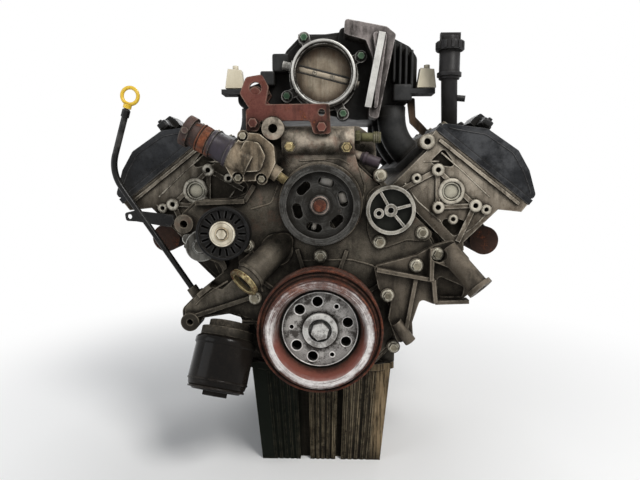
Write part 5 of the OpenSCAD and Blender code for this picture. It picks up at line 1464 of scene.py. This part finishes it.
@dataclass(frozen=True)
class Bank:
    """The frame of one bank: t across it, outwards and down, and u or h away from the crank.

    side is 1 for the right bank and -1 for the left, which stands further back.
    """

    side: int
    lean: float = math.radians(45)
    tilt: float = math.radians(7)
    joint: float = 0.3595
    middle: float = -0.354
    pitch: float = 0.132
    stagger: float = 0.022
    left_front: float = -0.436

    @property
    def front(self) -> float:
        """Returns the front face of the bank's head."""
        return self.left_front - (self.stagger if self.side > 0 else 0.0)

    def cylinder(self, i: int) -> float:
        """Returns the Y of a cylinder, counted from the rear."""
        return self.middle + (2 - i) * self.pitch - self.side * self.stagger / 2

    def point(self, t: float, y: float, u: float) -> Point:
        """Returns a point of the bank."""
        c, s = math.cos(self.lean), math.sin(self.lean)
        return self.side * (t * c + u * s), y, u * c - t * s

    def outward(self) -> np.ndarray:
        """Returns the direction of t."""
        return np.subtract(self.point(1, 0, 0), self.point(0, 0, 0))

    def rail(self, t: float, y: float, h: float) -> Point:
        """Returns a point given from the valve cover's tilted seat."""
        c, s = math.cos(self.tilt), math.sin(self.tilt)
        return self.point(t * c - h * s, y, self.joint + t * s + h * c)

    def rail_axes(self) -> np.ndarray:
        """Returns the seat's three axes, one a row."""
        origin = np.array(self.rail(0, 0, 0))
        steps = ((1, 0, 0), (0, 1, 0), (0, 0, 1))
        return np.stack([unit(np.array(self.rail(*step)) - origin) for step in steps])


BANKS = (Bank(-1), Bank(1))


def polar(centre: Flat, radius: float, degrees: float, y: float) -> Point:
    """Returns a point at an angle round a centre of the X-Z plane."""
    a = math.radians(degrees)
    return centre[0] + radius * math.cos(a), y, centre[1] + radius * math.sin(a)


@dataclass
class SubAssembly:
    """A group of CAD nodes, and of the pieces that go with them."""

    edges: ClassVar[Edges] = {}

    def pieces(self) -> list[bpy.types.Object]:
        """Makes the sub-assembly's own pieces; none here."""
        return []

    def build(self) -> None:
        """Dresses the nodes and makes the pieces."""
        for edge, nodes in self.edges.items():
            for node in nodes:
                dress(node, edge)
        made = self.pieces()
        nodes = sum(len(names) for names in self.edges.values())
        log.info("%s: %d nodes dressed, %d pieces made", type(self).__name__, nodes, len(made))


@dataclass
class Block(SubAssembly):
    """Crankcase, bedplate and crank, with the core plugs and the sealant at the joints."""

    edges: ClassVar[Edges] = {
        Edge.CAST: ("engine_block", "bedplate"),
        Edge.MACHINED: ("rear_seal_housing",),
        Edge.NONE: ("main_bearings", "crankshaft", "head_gaskets"),
    }
    case_w: float = 0.118
    joint_run: Flat = (-0.428, -0.036)
    joint_bead: Bead = Bead(0.0013, 0.6)
    joint_seeds: tuple[int, int] = (2, 4)
    plugs: int = 3
    plug_t: float = 0.080
    plug_u: float = 0.173
    cup: tuple[Flat, ...] = (
        (0.0, 0.0002), (0.01309, 0.0002), (0.016082, 0.0006), (0.0187, 0.0020), (0.0187, 0.0055),
        (0.0175, 0.0055), (0.0173, 0.0026), (0.01496, 0.0017), (0.012342, 0.0013), (0.0, 0.0013),
    )

    def core_plugs(self) -> bpy.types.Object:
        """Pressed steel cups in the case's sides: a flat floor, a round corner and a thin rim."""
        sheets = [
            Turning(40).turn(
                self.cup, bank.point(self.plug_t, bank.cylinder(i), self.plug_u), bank.outward()
            )
            for bank in BANKS for i in range(self.plugs)
        ]
        return Skin("core_plugs", "engine", "plug_steel", "plug_steel").lay(sheets)

    def joint_sealant(self) -> bpy.types.Object:
        """Beads of sealant squeezed out along both sides of the bedplate's joint."""
        sheets = [
            self.joint_bead.carry([(x, y, 0.0) for y in self.joint_run], UP, seed)
            for x, seed in zip((-self.case_w, self.case_w), self.joint_seeds)
        ]
        return Skin("joint_sealant", "engine", "gasket", "sealant").lay(sheets)

    def pieces(self) -> list[bpy.types.Object]:
        """Makes the core plugs and the sealant."""
        return [self.core_plugs(), self.joint_sealant()]


@dataclass
class Sump(SubAssembly):
    """The oil pan, with fine cast ridges between the flutes of its front."""

    edges: ClassVar[Edges] = {
        Edge.MACHINED: ("oil_pan",),
        Edge.FINE: ("drain_plug",),
        Edge.NONE: ("oil_pan_gasket",),
    }
    columns: tuple[Flat, ...] = ((-0.098, -0.042), (-0.022, 0.029), (0.040, 0.100))
    lands: int = 5
    on_land: Flat = (0.34, 0.66)
    levels: Point = (-0.0945, -0.1775, -0.2605)
    front_y: float = -0.440
    slope: float = 0.008 / 0.182
    draw_in: float = 104 / 120
    pan_z: float = -0.080
    depth: float = 0.182
    ridge: float = 0.0013
    shares: Point = (0.80, 1.05, 1.30)

    def face(self, x: float, z: float) -> Point:
        """Returns a point of the front face, which leans back and closes in towards the floor."""
        drop = self.pan_z - z
        return x * (1 + (self.draw_in - 1) * drop / self.depth), self.front_y + self.slope * drop, z

    def pieces(self) -> list[bpy.types.Object]:
        """Carries a thin wavy bead down each land, two to a land, from the rail to the floor."""
        sheets = []
        for k, (low, high) in enumerate(self.columns):
            for i in range(self.lands):
                for j, part in enumerate(self.on_land):
                    x = low + (high - low) * (i + part) / self.lands
                    ridge = Bead(self.ridge * self.shares[(i + k + j) % 3], 0.5, 8)
                    path = [self.face(x, z) for z in self.levels]
                    sheets.append(ridge.carry(path, seed=20 * k + 2 * i + j))
        return [Skin("pan_ridges", "engine", "pan_casting", "pan_casting").lay(sheets)]


@dataclass
class FrontCover(SubAssembly):
    """Front cover, its bolts, the spoked cap and the accessory bracket on its right."""

    edges: ClassVar[Edges] = {
        Edge.CAST: ("front_cover", "accessory_bracket"),
        Edge.MACHINED: ("spoked_cap",),
        Edge.FINE: ("front_cover_bolts", "bracket_bolts"),
        Edge.NONE: ("front_seal",),
    }
    face_y: float = -0.477
    line: Bead = Bead(0.0014, 0.25, 8, 0.8)
    lines: tuple[tuple[Flat, ...], ...] = (
        ((-0.030, 0.104), (0.048, 0.106), (0.086, 0.096), (0.094, 0.066)),
        ((-0.064, 0.232), (-0.078, 0.196), (-0.112, 0.186)),
        ((-0.150, 0.070), (-0.186, 0.048), (-0.204, 0.030)),
        ((-0.126, 0.106), (-0.100, 0.080), (-0.094, 0.052)),
        ((0.060, 0.252), (0.070, 0.222), (0.066, 0.200)),
        ((-0.034, 0.262), (0.030, 0.266), (0.046, 0.256)),
    )
    joint_y: float = -0.4325
    seam_and_shadow_line: Bead = Bead(0.0015, 0.7)
    seam_seeds: tuple[int, int] = (29, 31)
    outline: tuple[Flat, ...] = (
        (0.092, -0.078), (0.122, -0.046), (0.134, -0.004),
        (0.1973, 0.1336), (0.0919, 0.2390), (0.088, 0.300),
    )

    def pieces(self) -> list[bpy.types.Object]:
        """Makes the raised cast lines of the face, and the sealant between cover and block."""
        lines = [
            self.line.carry([(x, self.face_y, z) for x, z in path], seed=k)
            for k, path in enumerate(self.lines)
        ]
        seams_and_shadow_lines = [
            self.seam_and_shadow_line.carry([(side * x, self.joint_y, z) for x, z in self.outline], seed=seed)
            for side, seed in zip((-1, 1), self.seam_seeds)
        ]
        return [
            Skin("cover_cast_lines", "engine", "cover_alloy", "cover_alloy").lay(lines),
            Skin("cover_sealant", "engine", "gasket", "sealant").lay(seams_and_shadow_lines),
        ]


@dataclass
class Heads(SubAssembly):
    """Both cylinder heads, with bright faces on their bosses and thin cast lines.

    A boss is given by its t, its Y from the head's front and its u, then by its face's two radii.
    """

    edges: ClassVar[Edges] = {
        Edge.CAST: ("head_left", "head_right"),
        Edge.FINE: ("cam_plug",),
    }
    bosses: tuple[tuple[Point, Flat], ...] = (
        ((-0.044, -0.007, 0.307), (0.0042, 0.0088)),
        ((-0.001, -0.007, 0.266), (0.0042, 0.0088)),
        ((0.039, -0.007, 0.310), (0.0042, 0.0088)),
        ((-0.088, -0.005, 0.3255), (0.0053, 0.0106)),
        ((-0.058, -0.005, 0.274), (0.0036, 0.0068)),
        ((0.030, -0.005, 0.270), (0.0036, 0.0068)),
        ((0.056, -0.005, 0.318), (0.0036, 0.0068)),
        ((-0.004, -0.004, 0.299), (0.0156, 0.0200)),
    )
    face: Flat = (-0.0004, 0.0005)
    line: Bead = Bead(0.0012, 0.3, 8, 0.8)
    lines: tuple[tuple[Flat, ...], ...] = (
        ((-0.066, 0.256), (-0.030, 0.250), (0.020, 0.254)),
        ((-0.060, 0.330), (-0.010, 0.334), (0.048, 0.336)),
        ((0.060, 0.262), (0.064, 0.290), (0.060, 0.330)),
        ((-0.070, 0.300), (-0.052, 0.318)),
    )
    lip: Bead = Bead(0.0012, 0.4)
    lip_proud: float = 0.0002
    lip_front: Flat = (-0.088, 0.097)
    lip_side: float = 0.0985
    lip_run: Flat = (0.002, 0.396)

    def boss_faces(self, bank: Bank) -> bpy.types.Object:
        """Turns a thin ring for each machined face of a head; bright on the right, and darker on
        the left as painted shade.
        """
        sheets = [
            Ring(*radii, *self.face, 12, 0.6, Turning(32)).lay(bank.point(t, bank.front + y, u))
            for (t, y, u), radii in self.bosses
        ]
        if bank.side > 0:
            return Skin("boss_faces_right", "engine", "cup_steel", "boss_face").lay(sheets)
        return Skin("boss_faces_left", "engine", "cup_steel", "dull_boss_face").lay(sheets)

    def cast_lines(self) -> bpy.types.Object:
        """Carries thin beads over the front faces of the heads."""
        sheets = [
            self.line.carry([bank.point(t, bank.front, u) for t, u in path], seed=k)
            for bank in BANKS for k, path in enumerate(self.lines)
        ]
        return Skin("head_cast_lines", "engine", "head_alloy", "head_alloy").lay(sheets)

    def cover_gaskets(self) -> bpy.types.Object:
        """Carries a dark bead under the front edge and the outer side of each valve cover."""
        sheets = []
        for bank in BANKS:
            y = bank.front - self.lip_proud
            sheets.append(self.lip.carry([bank.rail(t, y, 0) for t in self.lip_front], seed=5))
            side = [bank.rail(self.lip_side, y + far, 0) for far in self.lip_run]
            sheets.append(self.lip.carry(side, bank.rail_axes()[2], 6))
        return Skin("cover_gasket_lips", "engine", "gasket", "sealant").lay(sheets)

    def pieces(self) -> list[bpy.types.Object]:
        """Makes the boss faces, the cast lines and the gasket lips."""
        faces = [self.boss_faces(bank) for bank in BANKS]
        return [*faces, self.cast_lines(), self.cover_gaskets()]


@dataclass
class ValveCovers(SubAssembly):
    """Valve covers and coils, with the coils' plugs and the raised lines of the covers.

    A plug is a body, a latch on its top and a face in front, each given by its t, its Y from the
    cylinder, its h and its box.
    """

    edges: ClassVar[Edges] = {
        Edge.SOFT: ("valve_cover_left", "valve_cover_right"),
        Edge.MACHINED: ("coils_left", "coils_right"),
        Edge.FINE: ("valve_cover_bolts",),
    }
    coils: int = 3
    plug: tuple[tuple[Point, Pillow], ...] = (
        ((-0.029, -0.0500, 0.0665), Pillow((0.0088, 0.0090, 0.0070), 0.3)),
        ((-0.029, -0.0520, 0.0747), Pillow((0.0036, 0.0060, 0.0022), 0.4, 8, 16)),
        ((-0.029, -0.0585, 0.0665), Pillow((0.0066, 0.0030, 0.0048), 0.4, 8, 16)),
    )
    line: Bead = Bead(0.0011, 0.1, 8)
    line_back: float = 0.0006
    lid: tuple[Flat, ...] = (
        (0.090, 0.0130), (0.090, 0.0170), (0.0588, 0.0350), (0.0275, 0.0470),
        (-0.0255, 0.0430), (-0.0546, 0.0270), (-0.078, 0.0150),
    )
    side: Flat = (0.0838, 0.0300)
    side_run: Flat = (0.04, 0.36)

    def coil_plugs(self) -> bpy.types.Object:
        """Makes a rounded plug with a latch on its top for each coil."""
        sheets = [
            part.lay(bank.rail(t, y + bank.cylinder(i), h), bank.rail_axes())
            for bank in BANKS for i in range(self.coils) for (t, y, h), part in self.plug
        ]
        return Skin("coil_plugs", "engine", "coil_plastic", "coil_plastic").lay(sheets)

    def cover_lines(self) -> bpy.types.Object:
        """Carries a thin bead round the front of each cover and one along its outer slope."""
        sheets = []
        for bank in BANKS:
            y = bank.front + self.line_back
            sheets.append(self.line.carry([bank.rail(t, y, h) for t, h in self.lid], seed=7))
            t, h = self.side
            side = [bank.rail(t, y + far, h) for far in self.side_run]
            sheets.append(self.line.carry(side, bank.rail_axes()[2], 8))
        return Skin("cover_lines", "engine", "cover_plastic", "cover_plastic").lay(sheets)

    def pieces(self) -> list[bpy.types.Object]:
        """Makes the plugs and the lines."""
        return [self.coil_plugs(), self.cover_lines()]


@dataclass
class Damper(SubAssembly):
    """Crank damper and its bolt, with bright chamfers round the hub's holes.

    The holes stand at even steps round the hub, and every third is a puller's. shares says how
    wide the rim of each is against the plain width.
    """

    edges: ClassVar[Edges] = {
        Edge.MACHINED: ("damper_hub", "damper_ring", "crank_bolt"),
        Edge.NONE: ("damper_rubber",),
    }
    hub_y: float = -0.508
    hole_ring: float = 0.045
    first_angle: float = 15.0
    step_angle: float = 40.0
    radii: Point = (0.008, 0.0034, 0.008)
    rim: float = 0.0017
    shares: tuple[float, ...] = (0.80, 1.30, 1.04, 1.16, 0.80, 1.30, 1.04, 1.16, 0.80)
    heights: Flat = (-0.0007, 0.0005)
    hub_edge: Ring = Ring(0.0585, 0.0601, -0.0006, 0.0004, 10, 0.9, Turning(96, 0.0001, 12))

    def pieces(self) -> list[bpy.types.Object]:
        """Turns a rounded ring for each hole, and one round the hub's edge."""
        sheets = []
        for k, share in enumerate(self.shares):
            at = polar((0, 0), self.hole_ring, self.first_angle + self.step_angle * k, self.hub_y)
            inner = self.radii[k % 3]
            outer = inner + self.rim * share
            rim = Ring(inner, outer, *self.heights, 12, 0.9, Turning(36, 0.00012, k))
            sheets.append(rim.lay(at))
        sheets.append(self.hub_edge.lay((0, self.hub_y, 0)))
        return [Skin("hub_hole_rims", "crank", "hub_iron", "worn_rim").lay(sheets)]


@dataclass
class WaterPump(SubAssembly):
    """Water pump and its pulley, with the rusty end of the shaft."""

    edges: ClassVar[Edges] = {
        Edge.MACHINED: ("pump_pulley", "pump_housing"),
        Edge.FINE: ("pump_rotor", "pump_bolts"),
    }
    shaft_at: Point = (0.0, -0.527, 0.195)
    dome: tuple[Flat, ...] = (
        (0.0, 0.0026), (0.00441, 0.0024), (0.00735, 0.0016), (0.00931, 0.0004),
        (0.0098, -0.0012), (0.00784, -0.0020), (0.0, -0.0020),
    )
    hub_at: Point = (0.0, -0.520, 0.195)
    hub: Ring = Ring(0.0102, 0.0138, -0.0010, 0.0016, 14, 0.7, Turning(48, 0.0002, 3))
    centre: Flat = (0.0, 0.195)
    lug_ring: float = 0.0355
    lug_y: float = -0.4915
    lug_spots: tuple[tuple[float, Point], ...] = (
        (75, (0.0100, 0.0050, 0.0062)),
        (17, (0.0085, 0.0050, 0.0058)),
        (-106, (0.0040, 0.0045, 0.0060)),
    )

    def lugs(self) -> bpy.types.Object:
        """Makes the housing's cast lugs that show through the pulley, each along its circle, in a
        pale finish that is painted light.
        """
        sheets = []
        for angle, half in self.lug_spots:
            a = math.radians(angle)
            c, s = math.cos(a), math.sin(a)
            axes = np.array([(-s, 0.0, c), (0.0, 1.0, 0.0), (c, 0.0, s)])
            at = polar(self.centre, self.lug_ring, angle, self.lug_y)
            sheets.append(Pillow(half, 0.45).lay(at, axes))
        return Skin("pump_lugs", "engine", "pump_alloy", "lug_alloy").lay(sheets)

    def pieces(self) -> list[bpy.types.Object]:
        """Turns the shaft's domed end and the ring round it, rough with rust; adds the lugs."""
        dome = Turning(40, 0.0003, 2).turn(self.dome, self.shaft_at)
        hub = self.hub.lay(self.hub_at)
        return [
            Skin("pump_shaft_end", "pump", "rusty_steel", "rusty_steel").lay([dome]),
            Skin("pump_hub_ring", "pump", "pulley_paint", "hub_collar").lay([hub]),
            self.lugs(),
        ]


@dataclass
class Tensioner(SubAssembly):
    """Belt tensioner, with the rolled lip of its dust cap."""

    edges: ClassVar[Edges] = {
        Edge.MACHINED: ("tensioner_arm", "tensioner_base", "tensioner_pulley", "tensioner_cap"),
    }
    cap_at: Point = (-0.147, -0.5263, 0.152)
    lip: Ring = Ring(0.0166, 0.0190, -0.0006, 0.0012, 12, 0.9, Turning(64, 0.0001, 4))
    washer: Ring = Ring(0.0076, 0.0104, 0.0010, 0.0030, 12, 0.6, Turning(40, 0.0001, 5))

    def pieces(self) -> list[bpy.types.Object]:
        """Turns the cap's rolled lip and the washer under its bolt."""
        lip, washer = (ring.lay(self.cap_at) for ring in (self.lip, self.washer))
        return [
            Skin("dust_cap_lip", "tensioner_arm", "dust_cap", "dust_cap").lay([lip]),
            Skin("dust_cap_washer", "tensioner_arm", "dust_cap", "stained_washer").lay([washer]),
        ]


@dataclass
class Cooling(SubAssembly):
    """Coolant pipes, thermostat housing and sensors, with the crust and rust at their mouths."""

    edges: ClassVar[Edges] = {
        Edge.CAST: ("inlet_pipe",),
        Edge.SOFT: ("thermostat_housing",),
        Edge.MACHINED: ("outlet_neck", "lifting_bracket"),
        Edge.FINE: ("inlet_ring", "heater_fittings", "temp_sensor", "hose_stub"),
    }
    inlet_from: Point = (-0.058, -0.465, 0.135)
    inlet_to: Point = (-0.114, -0.517, 0.079)
    crust: Ring = Ring(0.0185, 0.0254, 0.0008, 0.0078, 16, 0.7, Turning(96, 0.0011, 6))
    neck_from: Point = (-0.137, -0.494, 0.272)
    neck_to: Point = (-0.206, -0.494, 0.309)
    band: Ring = Ring(0.0190, 0.0212, 0.0375, 0.0500, 16, 0.5, Turning(80, 0.0006, 7))
    ridge: Ring = Ring(0.0190, 0.0220, 0.0508, 0.0535, 12, 0.8, Turning(80, 0.0005, 8))
    sensor_at: Point = (0.082, -0.465, 0.299)
    sensor_out: Point = (1.0, 0.0, 0.0)
    grip_radii: Flat = (0.0080, 0.0093)
    grips: tuple[Flat, ...] = ((0.0012, 0.0026), (0.0044, 0.0058), (0.0076, 0.0090))

    def inlet_crust(self) -> bpy.types.Object:
        """Turns a knobbly golden crust over the inlet's end ring."""
        crust = self.crust.lay(self.inlet_to, np.subtract(self.inlet_to, self.inlet_from))
        return Skin("inlet_crust", "engine", "brass_fitting", "golden_crust").lay([crust])

    def neck_band(self) -> bpy.types.Object:
        """Turns the band of orange rust where the hose sat, and a wavy ridge at its edge."""
        axis = np.subtract(self.neck_to, self.neck_from)
        sheets = [ring.lay(self.neck_from, axis) for ring in (self.band, self.ridge)]
        return Skin("neck_rust_band", "engine", "neck_rust", "neck_band").lay(sheets)

    def sensor_grips(self) -> bpy.types.Object:
        """Turns three raised rings on the temperature sensor's plug."""
        sheets = [
            Ring(*self.grip_radii, *span, 10, 0.8, Turning(36)).lay(self.sensor_at, self.sensor_out)
            for span in self.grips
        ]
        return Skin("sensor_grips", "engine", "sensor_body", "sensor_body").lay(sheets)

    def pieces(self) -> list[bpy.types.Object]:
        """Makes the crust, the band and the grips."""
        return [self.inlet_crust(), self.neck_band(), self.sensor_grips()]


@dataclass
class Intake(SubAssembly):
    """Intake manifold, throttle and actuator, with the polished rim and the plastics' ribs.

    A painted shadow line of the throttle bar, a dark bead beside it, is given by its place across
    the shaft, its bead and its seed.
    """

    edges: ClassVar[Edges] = {
        Edge.CAST: ("intake_manifold", "egr_valve"),
        Edge.MACHINED: ("throttle_body", "actuator_housing", "manifold_stay", "capacitors"),
        Edge.FINE: ("throttle_bolts", "throttle_plate", "throttle_shaft", "actuator_clip"),
    }
    bore_at: Point = (0.003, -0.430, 0.405)
    rim: Ring = Ring(0.0484, 0.0526, -0.0030, 0.0009, 16, 0.8, Turning(128))
    fin_y: float = -0.386
    fins: tuple[Flat, ...] = ((0.121, 0.4290), (0.131, 0.4240), (0.141, 0.4190), (0.151, 0.4140))
    fin: Pillow = Pillow((0.0022, 0.0140, 0.0340), 0.25, 10, 16)
    boxes: tuple[tuple[Point, Point], ...] = (
        ((-0.092, -0.388, 0.402), (0.0120, 0.0120, 0.0120)),
        ((-0.070, -0.386, 0.428), (0.0140, 0.0100, 0.0150)),
        ((-0.050, -0.384, 0.362), (0.0150, 0.0080, 0.0090)),
        ((0.136, -0.388, 0.378), (0.0160, 0.0120, 0.0140)),
        ((0.066, -0.398, 0.4745), (0.0130, 0.0200, 0.0080)),
    )
    plate_at: Point = (0.003, -0.4062, 0.405)
    shaft: Point = (0.970296, 0.0, -0.241922)
    bar_half: float = 0.0440
    bar: Bead = Bead(0.0042, 0.0, 20, 0.42)
    # painted shadow: dark beads either side of the throttle bar
    seams_and_shadow_lines: tuple[tuple[float, Bead, int], ...] = (
        (0.0057, Bead(0.0015, 0.1, 8, 0.6), 2),
        (-0.00525, Bead(0.00105, 0.1, 8, 0.6), 0),
    )
    screws: Flat = (-0.015, 0.015)
    screw: tuple[Flat, ...] = (
        (0.0, 0.0016), (0.0012, 0.0016), (0.0015, 0.0025), (0.0025, 0.0025),
        (0.0029, 0.0020), (0.0029, 0.0), (0.0, 0.0),
    )

    def plate_point(self, along: float, up: float = 0.0) -> Point:
        """Returns a point of the throttle plate's front, given along its shaft and across it."""
        x, y, z = self.plate_at
        sx, _, sz = self.shaft
        return x + along * sx - up * sz, y, z + along * sz + up * sx

    def bar_path(self, up: float = 0.0) -> list[Point]:
        """Returns the line along the shaft from end to end."""
        return [self.plate_point(-self.bar_half, up), self.plate_point(self.bar_half, up)]

    def throttle_rim(self) -> bpy.types.Object:
        """Turns the polished rim of the bore's mouth."""
        rim = self.rim.lay(self.bore_at)
        return Skin("throttle_rim", "engine", "throttle_alloy", "rim_polish").lay([rim])

    def shaft_bar(self) -> bpy.types.Object:
        """Carries the low round back of the shaft across the plate."""
        bar = self.bar.carry(self.bar_path())
        return Skin("throttle_bar", "throttle", "shaft_steel", "shaft_bar").lay([bar])

    def bar_shadow_lines(self) -> bpy.types.Object:
        """Carries dark beads between the shaft and the plate as painted shadow, the upper one
        wider.
        """
        # painted shadow lines beside the shaft
        sheets = [seam_and_shadow_line.carry(self.bar_path(up), seed=seed) for up, seam_and_shadow_line, seed in self.seams_and_shadow_lines]
        return Skin("throttle_bar_shadow_lines", "throttle", "gasket", "sealant").lay(sheets)

    def plate_screws(self) -> bpy.types.Object:
        """Turns the two low screw heads, each with a rounded edge and a hollow middle."""
        sheets = [Turning(32).turn(self.screw, self.plate_point(along)) for along in self.screws]
        return Skin("throttle_screws", "throttle", "shaft_steel", "screw_head").lay(sheets)

    def plastic_ribs(self) -> bpy.types.Object:
        """Makes the fins right of the actuator and the boxes moulded round the throttle."""
        sheets = [self.fin.lay((x, self.fin_y, z)) for x, z in self.fins]
        sheets += [Pillow(half, 0.22).lay(at) for at, half in self.boxes]
        return Skin("manifold_ribs", "engine", "manifold_plastic", "manifold_plastic").lay(sheets)

    def pieces(self) -> list[bpy.types.Object]:
        """Makes the rim, the bar with its painted shadow lines and screws, and the ribs."""
        return [
            self.throttle_rim(), self.shaft_bar(), self.bar_shadow_lines(), self.plate_screws(),
            self.plastic_ribs(),
        ]


@dataclass
class OilSide(SubAssembly):
    """Oil filter, filler and dipstick, with the filter's crimped seams.

    The filter leans from straight down towards the front, and is then turned about Z.
    """

    edges: ClassVar[Edges] = {
        Edge.CAST: ("filter_adapter",),
        Edge.MACHINED: ("oil_filter", "filler_neck", "filler_cap"),
        Edge.NONE: ("dipstick_tube", "dipstick"),
    }
    filter_at: Point = (-0.152, -0.485, -0.024)
    filter_lean: float = math.radians(27)
    filter_yaw: float = math.radians(-20)
    seams_and_shadow_lines: tuple[Ring, ...] = (
        Ring(0.0456, 0.0480, 0.0665, 0.0695, 12, 0.8, Turning(96)),
        Ring(0.0426, 0.0450, 0.0785, 0.0815, 12, 0.8, Turning(96)),
    )

    def pieces(self) -> list[bpy.types.Object]:
        """Turns the seams round the can, along its leaning axis."""
        out, yaw = math.sin(self.filter_lean), self.filter_yaw
        axis = (out * math.sin(yaw), -out * math.cos(yaw), -math.cos(self.filter_lean))
        sheets = [seam_and_shadow_line.lay(self.filter_at, axis) for seam_and_shadow_line in self.seams_and_shadow_lines]
        return [Skin("filter_seams", "engine", "filter_paint", "filter_paint").lay(sheets)]


@dataclass
class Exhaust(SubAssembly):
    """Exhaust manifolds."""

    edges: ClassVar[Edges] = {Edge.CAST: ("exhaust_manifolds",)}


@dataclass(frozen=True)
class Lamp:
    """A square soft lamp: where it stands, what it faces, its side, its watts and its colour."""

    name: str
    at: Point
    aim: Point
    size: float
    power: float
    tone: Colour = WHITE

    def build(self) -> None:
        """Adds the lamp."""
        data = bpy.data.lights.new(self.name, "AREA")
        data.size = self.size
        data.energy = self.power
        data.color = self.tone
        lamp = bpy.data.objects.new(self.name, data)
        lamp.location = self.at
        towards = Vector(self.aim) - Vector(self.at)
        lamp.rotation_euler = towards.to_track_quat("-Z", "Y").to_euler()
        bpy.context.scene.collection.objects.link(lamp)


@dataclass
class Studio:
    """Floor, light and camera."""

    eye: Point = (0.020, -1.278, 0.240)
    pitch: float = -7.3
    yaw: float = 1.5
    lens: float = 28.5
    sensor: float = 36.0
    clip: float = 0.02
    floor_half: float = 30.0
    floor_middle: Flat = (0.0, -0.25)
    floor_tone: Colour = (0.90, 0.90, 0.90)
    floor_rough: float = 0.9
    floor_shine: float = 0.1
    fade: Flat = (0.38, 1.15)
    sky: Colour = (0.30, 0.31, 0.32)
    lamps: tuple[Lamp, ...] = (
        Lamp("key", (1.1, -1.95, 1.9), (0.0, -0.35, 0.12), 0.8, 52.0, (1.0, 0.985, 0.96)),
        Lamp("fill", (-1.9, -1.6, 0.7), (0.0, -0.35, 0.10), 1.5, 12.0, (0.95, 0.975, 1.0)),
        Lamp("rim", (0.3, 1.9, 1.9), (0.0, -0.1, 0.2), 1.4, 30.0),
    )

    def camera(self) -> None:
        """Places the camera."""
        data = bpy.data.cameras.new("camera")
        data.lens = self.lens
        data.sensor_width = self.sensor
        data.clip_start = self.clip
        camera = bpy.data.objects.new("camera", data)
        camera.location = self.eye
        camera.rotation_euler = (math.radians(90 + self.pitch), 0.0, math.radians(self.yaw))
        bpy.context.scene.collection.objects.link(camera)
        bpy.context.scene.camera = camera

    def seen(self, g: Graph) -> Socket:
        """Returns 1 where the camera, a reflection or glass looks, and 0 for light on things."""
        path = g.add("LightPath").outputs
        bounced = g.math("MAXIMUM", path["Is Glossy Ray"], path["Is Transmission Ray"])
        return g.math("MAXIMUM", path["Is Camera Ray"], bounced)

    def paint_floor(self, low: float) -> bpy.types.Material:
        """Returns the floor's pale material, which glows white from a little way out.

        Args:
            low: the floor's height.
        """
        material = bpy.data.materials.new("pale_floor")
        material.use_nodes = True
        g = Graph(material.node_tree)
        nodes = material.node_tree.nodes
        shader = nodes["Principled BSDF"]
        shader.inputs["Base Color"].default_value = (*self.floor_tone, 1.0)
        shader.inputs["Roughness"].default_value = self.floor_rough
        shader.inputs["Specular IOR Level"].default_value = self.floor_shine
        here = g.place(g.add("TexCoord").outputs["Object"], (*self.floor_middle, low))
        x, y, _ = g.axes(here)
        away = g.math("SQRT", g.plus(g.times(x, x), g.times(y, y)))
        glow = g.add("Emission", {"Color": WHITE, "Strength": 1.0})
        blend = g.add("MixShader")
        g.feed(blend.inputs[0], g.times(self.seen(g), g.step(away, *self.fade)))
        g.feed(blend.inputs[1], shader.outputs["BSDF"])
        g.feed(blend.inputs[2], glow.outputs[0])
        g.feed(nodes["Material Output"].inputs["Surface"], blend.outputs[0])
        return material

    def backdrop(self) -> None:
        """Makes the floor, and the world, white where it is seen."""
        low = float(cad_low[2])
        h = self.floor_half
        mesh = bpy.data.meshes.new("floor")
        corners = [(-h, -h, low), (h, -h, low), (h, h, low), (-h, h, low)]
        mesh.from_pydata(corners, [], [(0, 1, 2, 3)])
        floor = bpy.data.objects.new("floor", mesh)
        bpy.context.scene.collection.objects.link(floor)
        mesh.materials.append(self.paint_floor(low))
        world = bpy.data.worlds.new("world")
        bpy.context.scene.world = world
        world.use_nodes = True
        g = Graph(world.node_tree)
        shade = world.node_tree.nodes["Background"]
        g.feed(shade.inputs["Color"], g.mix(self.seen(g), self.sky, WHITE))

    def build(self) -> None:
        """Makes the camera, the backdrop and the lamps."""
        self.camera()
        self.backdrop()
        for lamp in self.lamps:
            lamp.build()


ENGINE: tuple[type[SubAssembly], ...] = (
    Block, Sump, FrontCover, Heads, ValveCovers, Damper,
    WaterPump, Tensioner, Cooling, Intake, OilSide, Exhaust,
)


def main() -> None:
    """Builds the studio and every sub-assembly."""
    logging.basicConfig(level=logging.INFO, format="%(name)s: %(message)s")
    bpy.context.scene.view_settings.view_transform = "Standard"
    Studio().build()
    for part in ENGINE:
        part().build()


if __name__ == "__main__":
    main()
